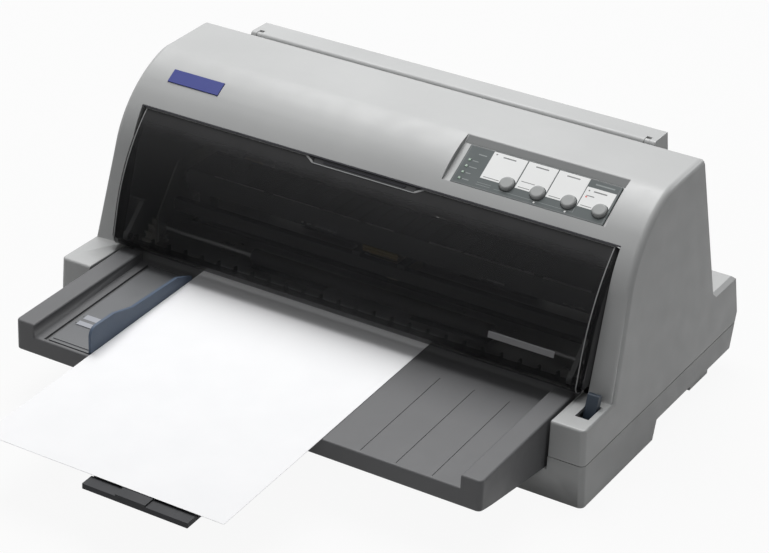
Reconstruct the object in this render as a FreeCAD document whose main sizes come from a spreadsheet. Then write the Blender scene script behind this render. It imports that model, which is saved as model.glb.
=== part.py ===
"""Flat-bed dot matrix printer, modelled piece by piece as a parametric document.

Frame: +X is the viewer's right, the front faces -Y, +Z is up, and the floor is z = 0.
Inside each piece y is measured from the front face of the two front blocks, and the
piece's Placement then centres the whole printer on the origin. Millimetres and degrees.
"""
import FreeCAD, Part
import Sketcher
import math
import os
import re

# Driving sizes
SIZES = {
    # Casing
    "case_width": 480,
    "case_height": 210,
    "case_depth": 273.7,
    "support_reach": 235,
    "side_draft_share": 0.05,
    "wall": 3,
    "seam_z": 35,
    "seam_line": 0.6,
    "edge_round": 3,
    "front_lean": 14,
    "brow_radius": 88,
    "foot_y": 46.88,
    "crown_fall": 2,
    "crown_run": 62,
    "back_run": 33.4,
    "step_z": 79,
    "tail_step": 7.2,
    "knee_z": 43.8,
    "tail_inset": 11.2,
    "bottom_rise": 15,
    "skirt_y": 119.5,
    "skirt_run": 6.5,
    "block_top": 65.6,
    "block_width": 31.5,
    "over": 1,
    "gap": 0.3,
    "pin_gap": 0.05,
    # Window and smoked front cover
    "cheek_width": 25,
    "brow_drop": 34,
    "jamb_depth": 12,
    "jamb_wall": 2.5,
    "cover_side_gap": 0.5,
    "cover_wall": 2.5,
    "cover_proud": 13.38,
    "cover_lift": 4.4,
    "cover_bend_run": 6.6,
    "cover_bend_rise": 30,
    "cover_top_sink": 0.67,
    "cover_top_gap": 1,
    "cover_top_bevel": 4,
    "cover_edge_round": 4,
    "cover_back_sink": 3.12,
    "cover_back_inset": 4,
    "cover_toe_radius": 7,
    "pivot_run": 9.5,
    "pivot_rise": 8,
    "cover_pin_radius": 2.5,
    "ear_inset": 15,
    "ear_wall": 4,
    "ear_radius": 4.2,
    "ear_run": 19,
    "ear_lift": 14,
    "ear_rise": 9,
    "grip_x": -5,
    "grip_width": 92,
    "grip_notch": 4,
    "comb_pitch": 16,
    "comb_rib": 1.6,
    "comb_rise": 12,
    "label_inset": 53.7,
    "label_width": 56,
    "label_low_z": 93.6,
    "label_height": 5,
    "plate_thin": 0.5,
    # Badge
    "badge_x": -178.5,
    "badge_back": 25.7,
    "badge_width": 48.5,
    "badge_height": 12.4,
    "badge_thick": 1.2,
    "badge_sink": 0.6,
    # Control panel
    "panel_back": 40.7,
    "panel_drop": 25.4,
    "panel_tilt": 30.2,
    "panel_floor_run": 38.5,
    "recess_left": 58.5,
    "recess_right": 197.7,
    "recess_short": 1.5,
    "recess_backing": 4,
    "panel_left": 65.3,
    "panel_right": 195,
    "panel_margin": 0.8,
    "panel_run": 37,
    "panel_thick": 1.5,
    "button_count": 4,
    "button_first_x": 109.3,
    "button_pitch": 26.1,
    "button_along": 12,
    "button_radius": 6,
    "button_hole_gap": 0.3,
    "button_proud": 3,
    "button_stem_depth": 8,
    "button_travel": 1.5,
    "switch_size": 7,
    "switch_height": 4,
    "board_thick": 1.6,
    "lamp_count": 4,
    "lamp_half": 1.1,
    "lamp_x": 71,
    "lamp_pitch": 6,
    "lamp_proud": 0.4,
    # Paper path
    "paper_slope": 2.5,
    "floor_front_z": 52,
    "tray_reach": 98.35,
    "tray_side_gap": 2.5,
    "tray_back_y": 60,
    "tray_wall": 3,
    "tray_low_front": 37.3,
    "tray_low_mid_y": 0,
    "tray_low_mid": 24,
    "rail_width": 17.5,
    "rail_front_z": 63,
    "rail_back_y": 34,
    "rail_back_z": 66.6,
    "rail_end_y": 45,
    "tray_corner": 4,
    "groove_count": 3,
    "groove_first_x": 104.5,
    "groove_pitch": 30,
    "groove_width": 0.8,
    "groove_depth": 0.5,
    "groove_inset": 3,
    "groove_end_y": 20,
    "sheet_width": 210,
    "sheet_length": 297,
    "sheet_front": 224.7,
    "sheet_thick": 0.25,
    "sheet_lift": 0.3,
    # Edge guide
    "well_inset": 7.5,
    "well_front": 95.6,
    "well_back_y": 42,
    "well_depth": 1.8,
    "guide_travel": 44,
    "guide_side_gap": 3.5,
    "guide_width": 40.5,
    "guide_front": 94.1,
    "guide_back_y": 40.5,
    "guide_thick": 1.5,
    "fin_thick": 2.5,
    "fin_front_round": 8,
    "fin_front_top": 74.2,
    "fin_high_back": 64,
    "fin_mid": 40,
    "fin_mid_top": 68.8,
    "fin_flat_back_y": 20,
    "fin_flat_top": 68.6,
    "fin_tail_top": 61.6,
    "thumb_front": 91,
    "thumb_back": 67,
    "thumb_rise": 2.6,
    "thumb_inset": 2,
    "stripe_count": 2,
    "stripe_front": 63,
    "stripe_run": 7,
    "stripe_gap": 3,
    "stripe_rise": 0.8,
    # Pull-out sheet support
    "support_left": -40.5,
    "support_width": 90.5,
    "support_thick": 2.4,
    "support_tail": 60,
    "support_bar": 11.5,
    "support_bar_rise": 1.4,
    "support_grip_left": -12,
    "support_grip_width": 26,
    "ledge_width": 5,
    "ledge_thick": 1.5,
    "ledge_length": 110,
    # Release lever
    "slot_inset": 11.4,
    "slot_width": 11.2,
    "slot_front_y": 16.8,
    "slot_back_y": 38.7,
    "lever_pivot_y": 28,
    "lever_pivot_z": 48,
    "lever_half_swing": 17.8,
    "lever_height": 29.5,
    "lever_thick": 6,
    "lever_side_gap": 0.9,
    "lever_hub": 6,
    "lever_pin_radius": 2.5,
    "bracket_wall": 2,
    "bracket_gap": 1,
    "bracket_half_run": 8,
    # Rear cover
    "hood_half": 185.3,
    "hood_top_run": 20,
    "hood_out": 17.1,
    "hood_low_z": 97,
    "hood_wall": 2.5,
    "hood_pivot_run": 5.1,
    "hood_bead": 3.5,
    "hood_pin_radius": 1.5,
    "hood_lap": 9.3,
    "rear_open_drop": 10,
    "lug_wall": 4,
    "lug_radius": 3.2,
    "vent_count": 9,
    "vent_rows": 2,
    "vent_pitch": 36,
    "vent_width": 22,
    "vent_height": 4,
    "vent_low_z": 130,
    # Feet
    "foot_inset": 7,
    "foot_width": 28,
    "foot_front_y": 202,
    "foot_run": 34,
    "foot_pad": 2,
    "foot_round": 3,
    "pad_half": 9,
    "pad_y": 24,
    "pad_inset": 18,
    # Printing frame
    "frame_inset": 19,
    "frame_wall": 1.6,
    "frame_front_y": 78,
    "frame_back_y": 215,
    "frame_top_z": 122,
    "frame_shelf_z": 84,
    "frame_slope_run": 26,
    "deck_wall": 1.5,
    "chassis_front_y": 128,
    # Rollers
    "front_roller_y": 90,
    "roller_radius": 8,
    "shaft_radius": 4,
    "nip_gap": 0.3,
    "pinch_radius": 6,
    "pinch_shaft_radius": 2,
    "pinch_half": 110,
    "sleeve_width": 70,
    "sleeve_x": 75,
    "bush_flange": 2,
    "guide_plate": 2,
    "platen_y": 129,
    "platen_run": 14,
    "platen_half": 160,
    "platen_bar": 12,
    "platen_pad": 2,
    # Gears
    "gear_module": 2,
    "roller_teeth": 24,
    "idler_teeth": 16,
    "pinion_teeth": 8,
    "gear_face": 6,
    "gear_out": 9.5,
    "pinion_angle": -75,
    "idler_pin_radius": 3,
    "tooth_share": 0.38,
    "addendum_share": 0.85,
    "dedendum_share": 1.2,
    "pressure_angle": 20,
    "feed_motor_half": 16.5,
    "motor_corner": 3.5,
    "feed_motor_length": 30,
    "motor_shaft_radius": 1.5,
    # Carriage
    "rod_y": 156,
    "rod_z": 88,
    "rod_radius": 5,
    "carriage_half": 24,
    "carriage_bush": 9,
    "head_front_y": 115,
    "head_back_y": 143,
    "head_half": 17,
    "head_low_z": 72,
    "head_top_z": 93,
    "nose_half": 5,
    "nose_run": 5,
    "nose_lift": 1.9,
    "fin_count": 7,
    "fin_pitch": 3,
    "fin_gap": 1.4,
    "fin_depth": 3,
    "rail_y": 100,
    "rail_z": 80,
    "rail_run": 7,
    "rail_rise": 10,
    # Belt drive
    "pulley_inset": 26,
    "pulley_y": 178,
    "pulley_z": 100,
    "pulley_radius": 8,
    "belt_thick": 1.2,
    "belt_width": 6,
    "belt_lip": 3,
    "plate_gap": 1,
    "belt_motor_half": 18,
    "belt_motor_length": 24,
    "motor_plate": 1.6,
    # Ribbon
    "ribbon_side_gap": 10,
    "ribbon_front_y": 106,
    "ribbon_back_y": 146,
    "ribbon_low_z": 99,
    "ribbon_top_z": 118,
    "ribbon_arm": 10,
    "ribbon_band_lift": 0.9,
    "ribbon_band_thick": 0.25,
    "ribbon_band_width": 12,
    "knob_x": -150,
    "knob_radius": 9,
    "knob_height": 6,
    # Electronics
    "main_board_left": -150,
    "main_board_right": 70,
    "main_board_front_y": 140,
    "board_back_gap": 8,
    "post_height": 6,
    "post_half": 3.5,
    "chip_count": 3,
    "chip_size": 28,
    "chip_height": 3,
    "supply_left": 95,
    "supply_right": 188,
    "trafo_height": 24,
    "supply_front_y": 146,
    "trafo_size": 30,
    "socket_inset": 15.7,
    "socket_plate_left": -170,
    "socket_plate_right": -36,
    "socket_plate_top": 69,
    "socket_plate_wall": 1.2,
    "inlet_x": -150,
    "inlet_width": 27,
    "inlet_height": 20,
    "inlet_depth": 22,
    "rocker_x": -116,
    "rocker_width": 20,
    "rocker_height": 13,
    "rocker_depth": 12,
    "rocker_swing": 9,
    "rocker_paddle": 2.5,
    "rocker_paddle_half": 3.7,
    "rocker_pin_radius": 1,
    "port_x": -80,
    "port_width": 42,
    "port_height": 11,
    "port_depth": 10,
    "port_proud": 4.8,
    "usb_x": -48,
    "usb_width": 12,
    "usb_height": 11,
    "usb_depth": 14,
    "socket_z": 52,
}

# Places worked out from the driving sizes
DERIVED = {
    "front_y": "(support_reach - case_depth) / 2",
    "half_width": "case_width / 2",
    "block_inner": "half_width - block_width",
    "window_half": "half_width - cheek_width",
    "cover_half": "window_half - cover_side_gap",
    "ear_x": "window_half - ear_inset",
    "label_x": "cover_half - label_inset",
    "tray_half": "block_inner - tray_side_gap",
    "rail_inner": "tray_half - rail_width",
    "well_left": "well_inset - rail_inner",
    "guide_left": "well_left + guide_side_gap",
    "sheet_left": "fin_right + gap",
    "slot_left": "block_inner + slot_inset",
    "slot_right": "slot_left + slot_width",
    "foot_x": "half_width - foot_inset - foot_width",
    "pad_x": "half_width - pad_inset",
    "frame_x": "window_half - frame_inset",
    "ribbon_half": "frame_x - ribbon_side_gap",
    "gear_x": "frame_x + gear_out",
    "pulley_x": "frame_x - pulley_inset",
    "rear_open_half": "hood_half - hood_lap",
    "brow_y": "temple_y + brow_leg",
    "shoulder_y": "brow_y + crown_run",
    "back_foot_y": "shoulder_y + back_run",
    "window_top": "case_height - brow_drop",
    "cover_top_z": "window_top - cover_top_gap",
    "cover_top_y": "window_top_y + cover_top_sink",
    "cover_low_y": "foot_y - cover_proud",
    "cover_low_z": "block_top + cover_lift",
    "cover_bend_y": "cover_low_y + cover_bend_run",
    "cover_bend_z": "cover_low_z + cover_bend_rise",
    "cover_back_y": "foot_y + cover_back_sink",
    "cover_pivot_y": "cover_low_y + pivot_run",
    "cover_pivot_z": "cover_low_z + pivot_rise",
    "ear_back_y": "cover_pivot_y + ear_run",
    "ear_low_z": "cover_pivot_z + ear_lift",
    "panel_low_y": "brow_y - panel_back",
    "panel_low_z": "brow_z - panel_drop",
    "recess_top_y": "brow_y - recess_short",
    "badge_y": "brow_y - badge_back",
    "hood_pivot_y": "shoulder_y + hood_pivot_run",
    "hood_back_y": "hood_pivot_y + hood_top_run",
    "hood_low_y": "back_foot_y + hood_out",
    "step_y": "case_depth - tail_step",
    "tail_y": "case_depth - tail_inset",
    "socket_plate_y": "case_depth - socket_inset",
    "main_board_back_y": "socket_plate_y - board_back_gap",
    "rear_open_high": "case_height - rear_open_drop",
    "rear_open_low": "step_z + wall",
    "upper_low_z": "seam_z + seam_line",
    "brow_z": "case_height - crown_fall",
    "brow_leg": "brow_radius * (cos(front_lean) - sin(front_lean))",
    "temple_y": "foot_y + (temple_z - block_top) * tan(front_lean)",
    "temple_z": "brow_z - brow_leg",
    "brow_centre_y": "temple_y + brow_radius * cos(front_lean)",
    "brow_centre_z": "temple_z - brow_radius * sin(front_lean)",
    "window_top_y": "brow_centre_y - sqrt(brow_radius ^ 2 - (window_top - brow_centre_z) ^ 2)",
    "knee_run": "(case_depth - tail_y) / (knee_z - bottom_rise)",
    "floor_inside": "bottom_rise + wall",
    "rise_share": "tan(paper_slope)",
    "bed_at_roller_z": "floor_front_z + (front_roller_y + tray_reach) * rise_share",
    "front_roller_z": "bed_at_roller_z - nip_gap - roller_radius",
    "roller_span": "(roller_teeth + idler_teeth) * gear_module",
    "rear_roller_y": "front_roller_y + roller_span * cos(paper_slope)",
    "rear_roller_z": "front_roller_z + roller_span * sin(paper_slope)",
    "pinch_over": "roller_radius + nip_gap * 2 + sheet_lift + sheet_thick + pinch_radius",
    "cover_lean_share": "(cover_bend_y - cover_low_y) / (cover_bend_z - cover_low_z)",
    "hood_pivot_z": "case_height - hood_bead",
    "bed_at_platen_z": "floor_front_z + (platen_y + tray_reach) * rise_share",
    "band_low_z": "bed_at_platen_z + sheet_lift + sheet_thick + ribbon_band_lift",
    "nose_low_z": "band_low_z + ribbon_band_thick + nose_lift / 2",
    "gear_near_x": "gear_x - gear_face",
    "belt_under_z": "pulley_z - pulley_radius - belt_thick - gap",
    "panel_floor": "(wall + recess_backing) / 2",
    "panel_hole_half": "button_radius + button_hole_gap",
    "board_deep": "button_stem_depth + button_travel + gap + switch_height",
    "fin_right": "guide_left + guide_width",
    "support_deep": "tray_wall + gap + support_thick",
    "cover_lean": "atan(cover_lean_share)",
    "cover_chord_y": "cover_top_y - cover_bend_y",
    "cover_chord_z": "cover_top_z - cover_bend_z",
    "cover_bow": "cover_chord_y * cos(cover_lean) - cover_chord_z * sin(cover_lean)",
    "cover_radius": "(cover_chord_y ^ 2 + cover_chord_z ^ 2) / 2 / cover_bow",
    "cover_centre_y": "cover_bend_y + cover_radius * cos(cover_lean)",
    "cover_centre_z": "cover_bend_z - cover_radius * sin(cover_lean)",
    "cover_in_top_y": "cover_top_y + cover_wall * (cover_centre_y - cover_top_y) / cover_radius",
    "cover_in_top_z": "cover_top_z + cover_wall * (cover_centre_z - cover_top_z) / cover_radius",
    "hood_lean_share": "(hood_low_y - hood_back_y) / (case_height - hood_low_z)",
    "deck_z": "floor_inside + deck_wall",
    "frame_toe_y": "skirt_y - wall * 2",
    "idler_y": "front_roller_y + roller_span / 2 * cos(paper_slope)",
    "idler_z": "front_roller_z + roller_span / 2 * sin(paper_slope)",
    "pinion_reach": "(roller_teeth + pinion_teeth) * gear_module / 2",
    "pinion_y": "front_roller_y + pinion_reach * cos(paper_slope + pinion_angle)",
    "pinion_z": "front_roller_z + pinion_reach * sin(paper_slope + pinion_angle)",
    "badge_sin": "(brow_centre_y - badge_y) / brow_radius",
    "badge_cos": "sqrt(1 - badge_sin ^ 2)",
    "badge_tilt": "asin(badge_sin)",
    "badge_z": "brow_centre_z + brow_radius * badge_cos",
}

doc = FreeCAD.newDocument("dot_matrix_printer")
sheet = doc.addObject("Spreadsheet::Sheet", "dims")
CELLS = {name: str(amount) for name, amount in SIZES.items()}
CELLS.update({name: f"={formula}" for name, formula in DERIVED.items()})
for row, name in enumerate(CELLS, start=1):
    sheet.set(f"A{row}", name)
    sheet.setAlias(f"B{row}", name)
for row, content in enumerate(CELLS.values(), start=1):
    sheet.set(f"B{row}", content)
doc.recompute()


def bind(text):
    """A formula in plain names, turned into an expression on the sheet."""
    def swap(match):
        word = match.group()
        return f"dims.{word}" if word in CELLS else word
    return re.sub(r"[a-z][a-z_0-9]*", swap, text)


KNOWN = {}


def val(text):
    """The present value of a formula."""
    if text not in KNOWN:
        KNOWN[text] = float(sheet.evalExpression(bind(text)))
    return KNOWN[text]


def on_bed(y, lift="0"):
    """A corner (y, z) that lies lift above the sloping paper bed."""
    return (y, f"floor_front_z + ({y} + tray_reach) * rise_share + {lift}")


def bed_strip(front, back, low, high):
    return [on_bed(front, low), on_bed(back, low), on_bed(back, high), on_bed(front, high)]


def box(low_u, high_u, low_v, high_v):
    """A rectangle's corners."""
    return [(low_u, low_v), (high_u, low_v), (high_u, high_v), (low_u, high_v)]


def around(u, v, half_u, half_v):
    """A rectangle's corners, from its middle and its half sizes."""
    return box(f"{u} - ({half_u})", f"{u} + {half_u}", f"{v} - ({half_v})", f"{v} + {half_v}")


def ring(u, v, radius):
    return ("ring", u, v, radius)


PLANES = {"X": "YZ_Plane", "Y": "XZ_Plane", "Z": "XY_Plane"}
CLOSE = 0.01
PIECES = []


class Piece:
    """One sub-part: a body whose sketches and lengths are bound to the sheet.

    Outlines lie across an axis: (y, z) for X, (x, z) for Y and (x, y) for Z. A third
    item on a corner bends the side that follows it into an arc of that radius, which
    turns left where the radius is positive and right where it is negative.
    """

    def __init__(self, name, x="0", y="0", z="0", tilt="0", tool=False):
        self.body = doc.addObject("PartDesign::Body", name)
        self.body.Label = name
        if not tool:
            place = f"placement(vector({bind(x)}; {bind('front_y')} + {bind(y)}; {bind(z)}); "
            place += f"rotation(vector(1; 0; 0); {bind(tilt)}))"
            self.body.setExpression("Placement", place)
        self.count = 0
        PIECES.append(self)

    def sketch(self, axis, start, outlines, shift=("0", "0"), tilt=None):
        self.count += 1
        drawn = self.body.newObject("Sketcher::SketchObject", f"{self.body.Name}_sketch_{self.count}")
        plane = [o for o in self.body.Origin.OriginFeatures if o.Role == PLANES[axis]][0]
        drawn.AttachmentSupport = [(plane, "")]
        drawn.MapMode = "FlatFace"
        out = f"-({bind(start)})" if axis == "Y" else bind(start)
        if tilt is None:
            where = f"placement(vector({bind(shift[0])}; {bind(shift[1])}; {out}); rotation(0; 0; 0))"
        else:
            where = f"placement(vector(0; {bind(shift[0])}; {bind(shift[1])}); "
            where += f"rotation(vector(1; 0; 0); {bind(tilt)}))"
        drawn.setExpression("AttachmentOffset", where)
        for outline in outlines:
            if outline[0] == "ring":
                self.draw_ring(drawn, *outline[1:])
            else:
                self.draw_outline(drawn, outline)
        return drawn

    def draw_ring(self, drawn, u, v, radius):
        centre = FreeCAD.Vector(val(u), val(v), 0)
        curve = drawn.addGeometry(Part.Circle(centre, FreeCAD.Vector(0, 0, 1), val(radius)), False)
        self.pin(drawn, "DistanceX", curve, 3, u)
        self.pin(drawn, "DistanceY", curve, 3, v)
        index = drawn.addConstraint(Sketcher.Constraint("Radius", curve, val(radius)))
        drawn.setExpression(f"Constraints[{index}]", bind(radius))

    def draw_outline(self, drawn, corners):
        spots = [FreeCAD.Vector(val(c[0]), val(c[1]), 0) for c in corners]
        sides = []
        for i, corner in enumerate(corners):
            here, there = spots[i], spots[(i + 1) % len(spots)]
            if len(corner) == 3:
                curve = self.arc_between(here, there, val(corner[2]))
                side = drawn.addGeometry(curve, False)
                index = drawn.addConstraint(Sketcher.Constraint("Radius", side, abs(val(corner[2]))))
                drawn.setExpression(f"Constraints[{index}]", f"abs({bind(corner[2])})")
                ends = (1, 2) if val(corner[2]) > 0 else (2, 1)
            else:
                side = drawn.addGeometry(Part.LineSegment(here, there), False)
                ends = (1, 2)
            sides.append((side, ends))
        for i, (side, ends) in enumerate(sides):
            after, after_ends = sides[(i + 1) % len(sides)]
            drawn.addConstraint(Sketcher.Constraint("Coincident", side, ends[1], after, after_ends[0]))
            self.pin(drawn, "DistanceX", side, ends[0], corners[i][0])
            self.pin(drawn, "DistanceY", side, ends[0], corners[i][1])

    @staticmethod
    def arc_between(here, there, radius):
        chord = there - here
        middle = (here + there) * 0.5
        left = FreeCAD.Vector(-chord.y, chord.x, 0).normalize()
        turn = math.copysign(1, radius)
        inward = math.sqrt(radius ** 2 - (chord.Length / 2) ** 2)
        centre = middle + left * inward * turn
        crest = centre - left * abs(radius) * turn
        return Part.Arc(here, crest, there) if turn > 0 else Part.Arc(there, crest, here)

    @staticmethod
    def pin(drawn, kind, curve, point, text):
        index = drawn.addConstraint(Sketcher.Constraint(kind, -1, 1, curve, point, val(text)))
        drawn.setExpression(f"Constraints[{index}]", bind(text))

    def feature(self, kind, axis, start, end, outlines, shift, tilt):
        base = end if axis == "Y" else start
        drawn = self.sketch(axis, base, outlines, shift, tilt)
        made = self.body.newObject(f"PartDesign::{kind}", f"{self.body.Name}_{kind.lower()}_{self.count}")
        made.Profile = drawn
        made.setExpression("Length", f"({bind(end)}) - ({bind(start)})")
        if kind == "Pocket":
            made.Reversed = True
        drawn.Visibility = False
        return made

    def add(self, axis, start, end, *outlines, shift=("0", "0"), tilt=None):
        self.feature("Pad", axis, start, end, outlines, shift, tilt)
        return self

    def cut(self, axis, start, end, *outlines, shift=("0", "0"), tilt=None):
        self.feature("Pocket", axis, start, end, outlines, shift, tilt)
        return self

    def turn(self, axis, u, v, outline):
        """A revolved solid; the outline holds (along, radius) corners, and (u, v) is its axis."""
        if axis == "X":
            drawn = self.sketch("Y", u, [outline], ("0", v))
        elif axis == "Y":
            drawn = self.sketch("X", u, [outline], ("0", v))
        else:
            drawn = self.sketch("Y", v, [[(c[1], c[0]) for c in outline]], (u, "0"))
        made = self.body.newObject("PartDesign::Revolution", f"{self.body.Name}_turn_{self.count}")
        made.Profile = drawn
        made.ReferenceAxis = (drawn, ["V_Axis" if axis == "Z" else "H_Axis"])
        made.Angle = 360
        drawn.Visibility = False
        return self

    def dress(self, kind, amount, wanted):
        """Rounds (Fillet) or bevels (Chamfer) the edges that the wanted test picks."""
        doc.recompute()
        base = self.body.Tip
        names = [f"Edge{i}" for i, edge in enumerate(base.Shape.Edges, start=1) if wanted(edge)]
        made = self.body.newObject(f"PartDesign::{kind}", f"{self.body.Name}_{kind.lower()}")
        made.Base = (base, names)
        made.setExpression("Radius" if kind == "Fillet" else "Size", bind(amount))
        return self

    def hollow(self, cavity):
        """Takes another piece's solid out of this one."""
        made = self.body.newObject("PartDesign::Boolean", f"{self.body.Name}_hollow")
        made.Type = "Cut"
        made.addObject(cavity.body)
        PIECES.remove(cavity)
        return self


def count(name):
    return range(int(val(name)))


def both_sides(near, far):
    """The two spans, right and left, that a mirrored pair covers."""
    return [(near, far), (f"-({far})", f"-({near})")]


def side_wedges(low, high, inset="0"):
    """Two outlines that cut the drafted side walls out of a straight block."""
    top = f"{high} + over"
    foot = f"{low} - over"
    wedges = []
    for sign in ("", "-"):
        wedges.append([
            (f"{sign}(half_width - {inset} - side_draft_share * ({foot}))", foot),
            (f"{sign}(half_width + wall)", foot),
            (f"{sign}(half_width + wall)", top),
            (f"{sign}(half_width - {inset} - side_draft_share * ({top}))", top),
        ])
    return wedges


def lies_on_side(edge):
    """True for an edge along one of the drafted side walls."""
    for point in (edge.Vertexes[0].Point, edge.Vertexes[-1].Point, edge.valueAt(edge.FirstParameter)):
        wall_x = val("half_width") - val("side_draft_share") * point.z
        if abs(abs(point.x) - wall_x) > CLOSE:
            return False
    return True


def runs_along(edge, axis):
    """True for an edge that starts along the named axis."""
    return abs(getattr(edge.tangentAt(edge.FirstParameter), axis)) > 1 - CLOSE


def upper_cavity():
    """The space inside the upper case, a wall's thickness in from its outline."""
    lean_in_y = "wall * cos(front_lean)"
    lean_in_z = "wall * sin(front_lean)"
    outline = [
        ("wall", "upper_low_z - over"),
        ("wall", "block_top - wall"),
        ("foot_y + wall", "block_top - wall"),
        (f"temple_y + {lean_in_y}", f"temple_z - {lean_in_z}", "-(brow_radius - wall)"),
        (f"brow_y + {lean_in_z}", f"brow_z - {lean_in_y}"),
        ("shoulder_y - wall", "case_height - wall"),
        ("back_foot_y - wall", "step_z - wall"),
        ("step_y - wall", "step_z - wall"),
        ("case_depth - wall", "knee_z"),
        ("case_depth - wall - (knee_z - upper_low_z + over) * knee_run", "upper_low_z - over"),
    ]
    cavity = Piece("upper_cavity", tool=True)
    cavity.add("X", "-half_width", "half_width", outline)
    cavity.cut("Y", "-over", "case_depth + over", *side_wedges("upper_low_z - over", "case_height", "wall"))
    return cavity


def upper_case():
    cavity = upper_cavity()
    case = Piece("upper_case")
    outline = [
        ("0", "upper_low_z"),
        ("0", "block_top"),
        ("foot_y", "block_top"),
        ("temple_y", "temple_z", "-brow_radius"),
        ("brow_y", "brow_z"),
        ("shoulder_y", "case_height"),
        ("back_foot_y", "step_z"),
        ("step_y", "step_z"),
        ("case_depth", "knee_z"),
        ("case_depth - (knee_z - upper_low_z) * knee_run", "upper_low_z"),
    ]
    case.add("X", "-half_width", "half_width", outline)
    case.cut("Y", "-over", "case_depth + over", *side_wedges("upper_low_z", "case_height"))
    case.dress("Chamfer", "edge_round",
               lambda e: lies_on_side(e) and e.CenterOfMass.z > val("block_top + edge_round"))
    case.hollow(cavity)
    # Front: the channel for the tray between the blocks, and the window
    case.cut("X", "-block_inner", "block_inner",
             box("-over", "tray_back_y", "upper_low_z - over", "block_top + over"))
    case.cut("X", "-window_half", "window_half",
             box("foot_y - over", "window_top_y + wall * 3", "block_top", "window_top"))
    for near, far in both_sides("block_inner", "block_inner + wall"):
        case.add("X", near, far, box("wall / 2", "foot_y + wall", "upper_low_z", "block_top - wall / 2"))
    jamb = [
        ("foot_y + wall / 2", "block_top - wall / 2"),
        ("temple_y + wall / 2", "temple_z"),
        ("window_top_y + wall / 2", "window_top + wall / 2"),
        ("window_top_y + jamb_depth", "window_top + wall / 2"),
        ("temple_y + jamb_depth", "temple_z"),
        ("foot_y + jamb_depth", "block_top - wall / 2"),
    ]
    for near, far in both_sides("window_half", "window_half + jamb_wall"):
        case.add("X", near, far, jamb)
    # Ears that carry the front cover's pins
    for near, far in both_sides("ear_x", "window_half + jamb_wall / 2"):
        case.add("X", near, far,
                 box("ear_back_y", "ear_back_y + wall", "ear_low_z - over", "ear_low_z + ear_rise + over"))
    for near, far in both_sides("ear_x", "ear_x + ear_wall"):
        case.add("X", near, far, [
            ("cover_pivot_y - ear_radius / 2", "cover_pivot_z + ear_radius / 2"),
            ("cover_pivot_y + ear_radius / 2", "cover_pivot_z - ear_radius / 2"),
            ("ear_back_y + over", "ear_low_z"),
            ("ear_back_y + over", "ear_low_z + ear_rise"),
        ])
        case.add("X", near, far, ring("cover_pivot_y", "cover_pivot_z", "ear_radius"))
        case.cut("X", f"{near} - over", f"{far} + over",
                 ring("cover_pivot_y", "cover_pivot_z", "cover_pin_radius + pin_gap"))
    # Well of the control panel
    foot = ("panel_low_y", "panel_low_z")
    top = (
        "panel_low_y + panel_floor_run * cos(panel_tilt)",
        "panel_low_z + panel_floor_run * sin(panel_tilt)",
    )
    drop_y = "(wall + recess_backing) * sin(panel_tilt)"
    drop_z = "(wall + recess_backing) * cos(panel_tilt)"
    case.add("X", "recess_left - wall", "recess_right + wall", [
        (f"{foot[0]} - wall * cos(panel_tilt)", f"{foot[1]} - wall * sin(panel_tilt)"),
        (f"{foot[0]} + {drop_y} / 2", f"{foot[1]} - {drop_z} / 2"),
        (f"{top[0]} + {drop_y} / 2 + wall", f"{top[1]} - {drop_z} / 2 + wall / 2"),
        ("recess_top_y + wall", "brow_z - wall / 2"),
        ("recess_top_y - wall", "brow_z - wall"),
    ])
    case.cut("X", "recess_left", "recess_right", [
        foot,
        top,
        ("recess_top_y", "brow_z - over / 2"),
        ("recess_top_y - wall * 2", "brow_z + wall * 3"),
        ("panel_low_y - wall", "panel_low_z + wall * 3"),
    ])
    holes = [around(x, "button_along", "panel_hole_half", "panel_hole_half") for x in button_spots()]
    under = ("panel_low_y + wall * 3 * sin(panel_tilt)", "panel_low_z - wall * 3 * cos(panel_tilt)")
    case.cut("Z", "0", "wall * 4", *holes, shift=under, tilt="panel_tilt")
    # Seat of the badge
    seat = ("badge_y + badge_sink * badge_sin", "badge_z - badge_sink * badge_cos")
    case.cut("Z", "0", "wall", around("badge_x", "0", "badge_width / 2 + gap", "badge_height / 2 + gap"),
             shift=seat, tilt="badge_tilt")
    # Slot of the release lever
    case.cut("Z", "block_top - wall - over", "block_top + over",
             box("slot_left", "slot_right", "slot_front_y", "slot_back_y"))
    # Rear opening under the hinged cover, and its lugs
    case.cut("X", "-rear_open_half", "rear_open_half",
             box("shoulder_y - wall * 2", "step_y", "rear_open_low", "rear_open_high"))
    for near, far in both_sides("rear_open_half", "rear_open_half + lug_wall"):
        case.add("X", near, far, [
            ("hood_pivot_y - lug_radius * 2", "hood_pivot_z - lug_radius * 4"),
            ("hood_pivot_y + lug_radius", "hood_pivot_z - lug_radius * 3"),
            ("hood_pivot_y + lug_radius", "hood_pivot_z"),
            ("hood_pivot_y - lug_radius", "hood_pivot_z"),
            ("hood_pivot_y - lug_radius * 2", "hood_pivot_z - lug_radius"),
        ])
        case.add("X", near, far, ring("hood_pivot_y", "hood_pivot_z", "lug_radius"))
        case.cut("X", f"{near} - over", f"{far} + over",
                 ring("hood_pivot_y", "hood_pivot_z", "hood_pin_radius + pin_gap"))
    # Opening for the sockets in the tail
    case.cut("Y", "socket_plate_y - over", "case_depth + over",
             box("socket_plate_left + wall", "socket_plate_right - wall",
                 "upper_low_z - over", "socket_plate_top - wall"))


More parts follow.
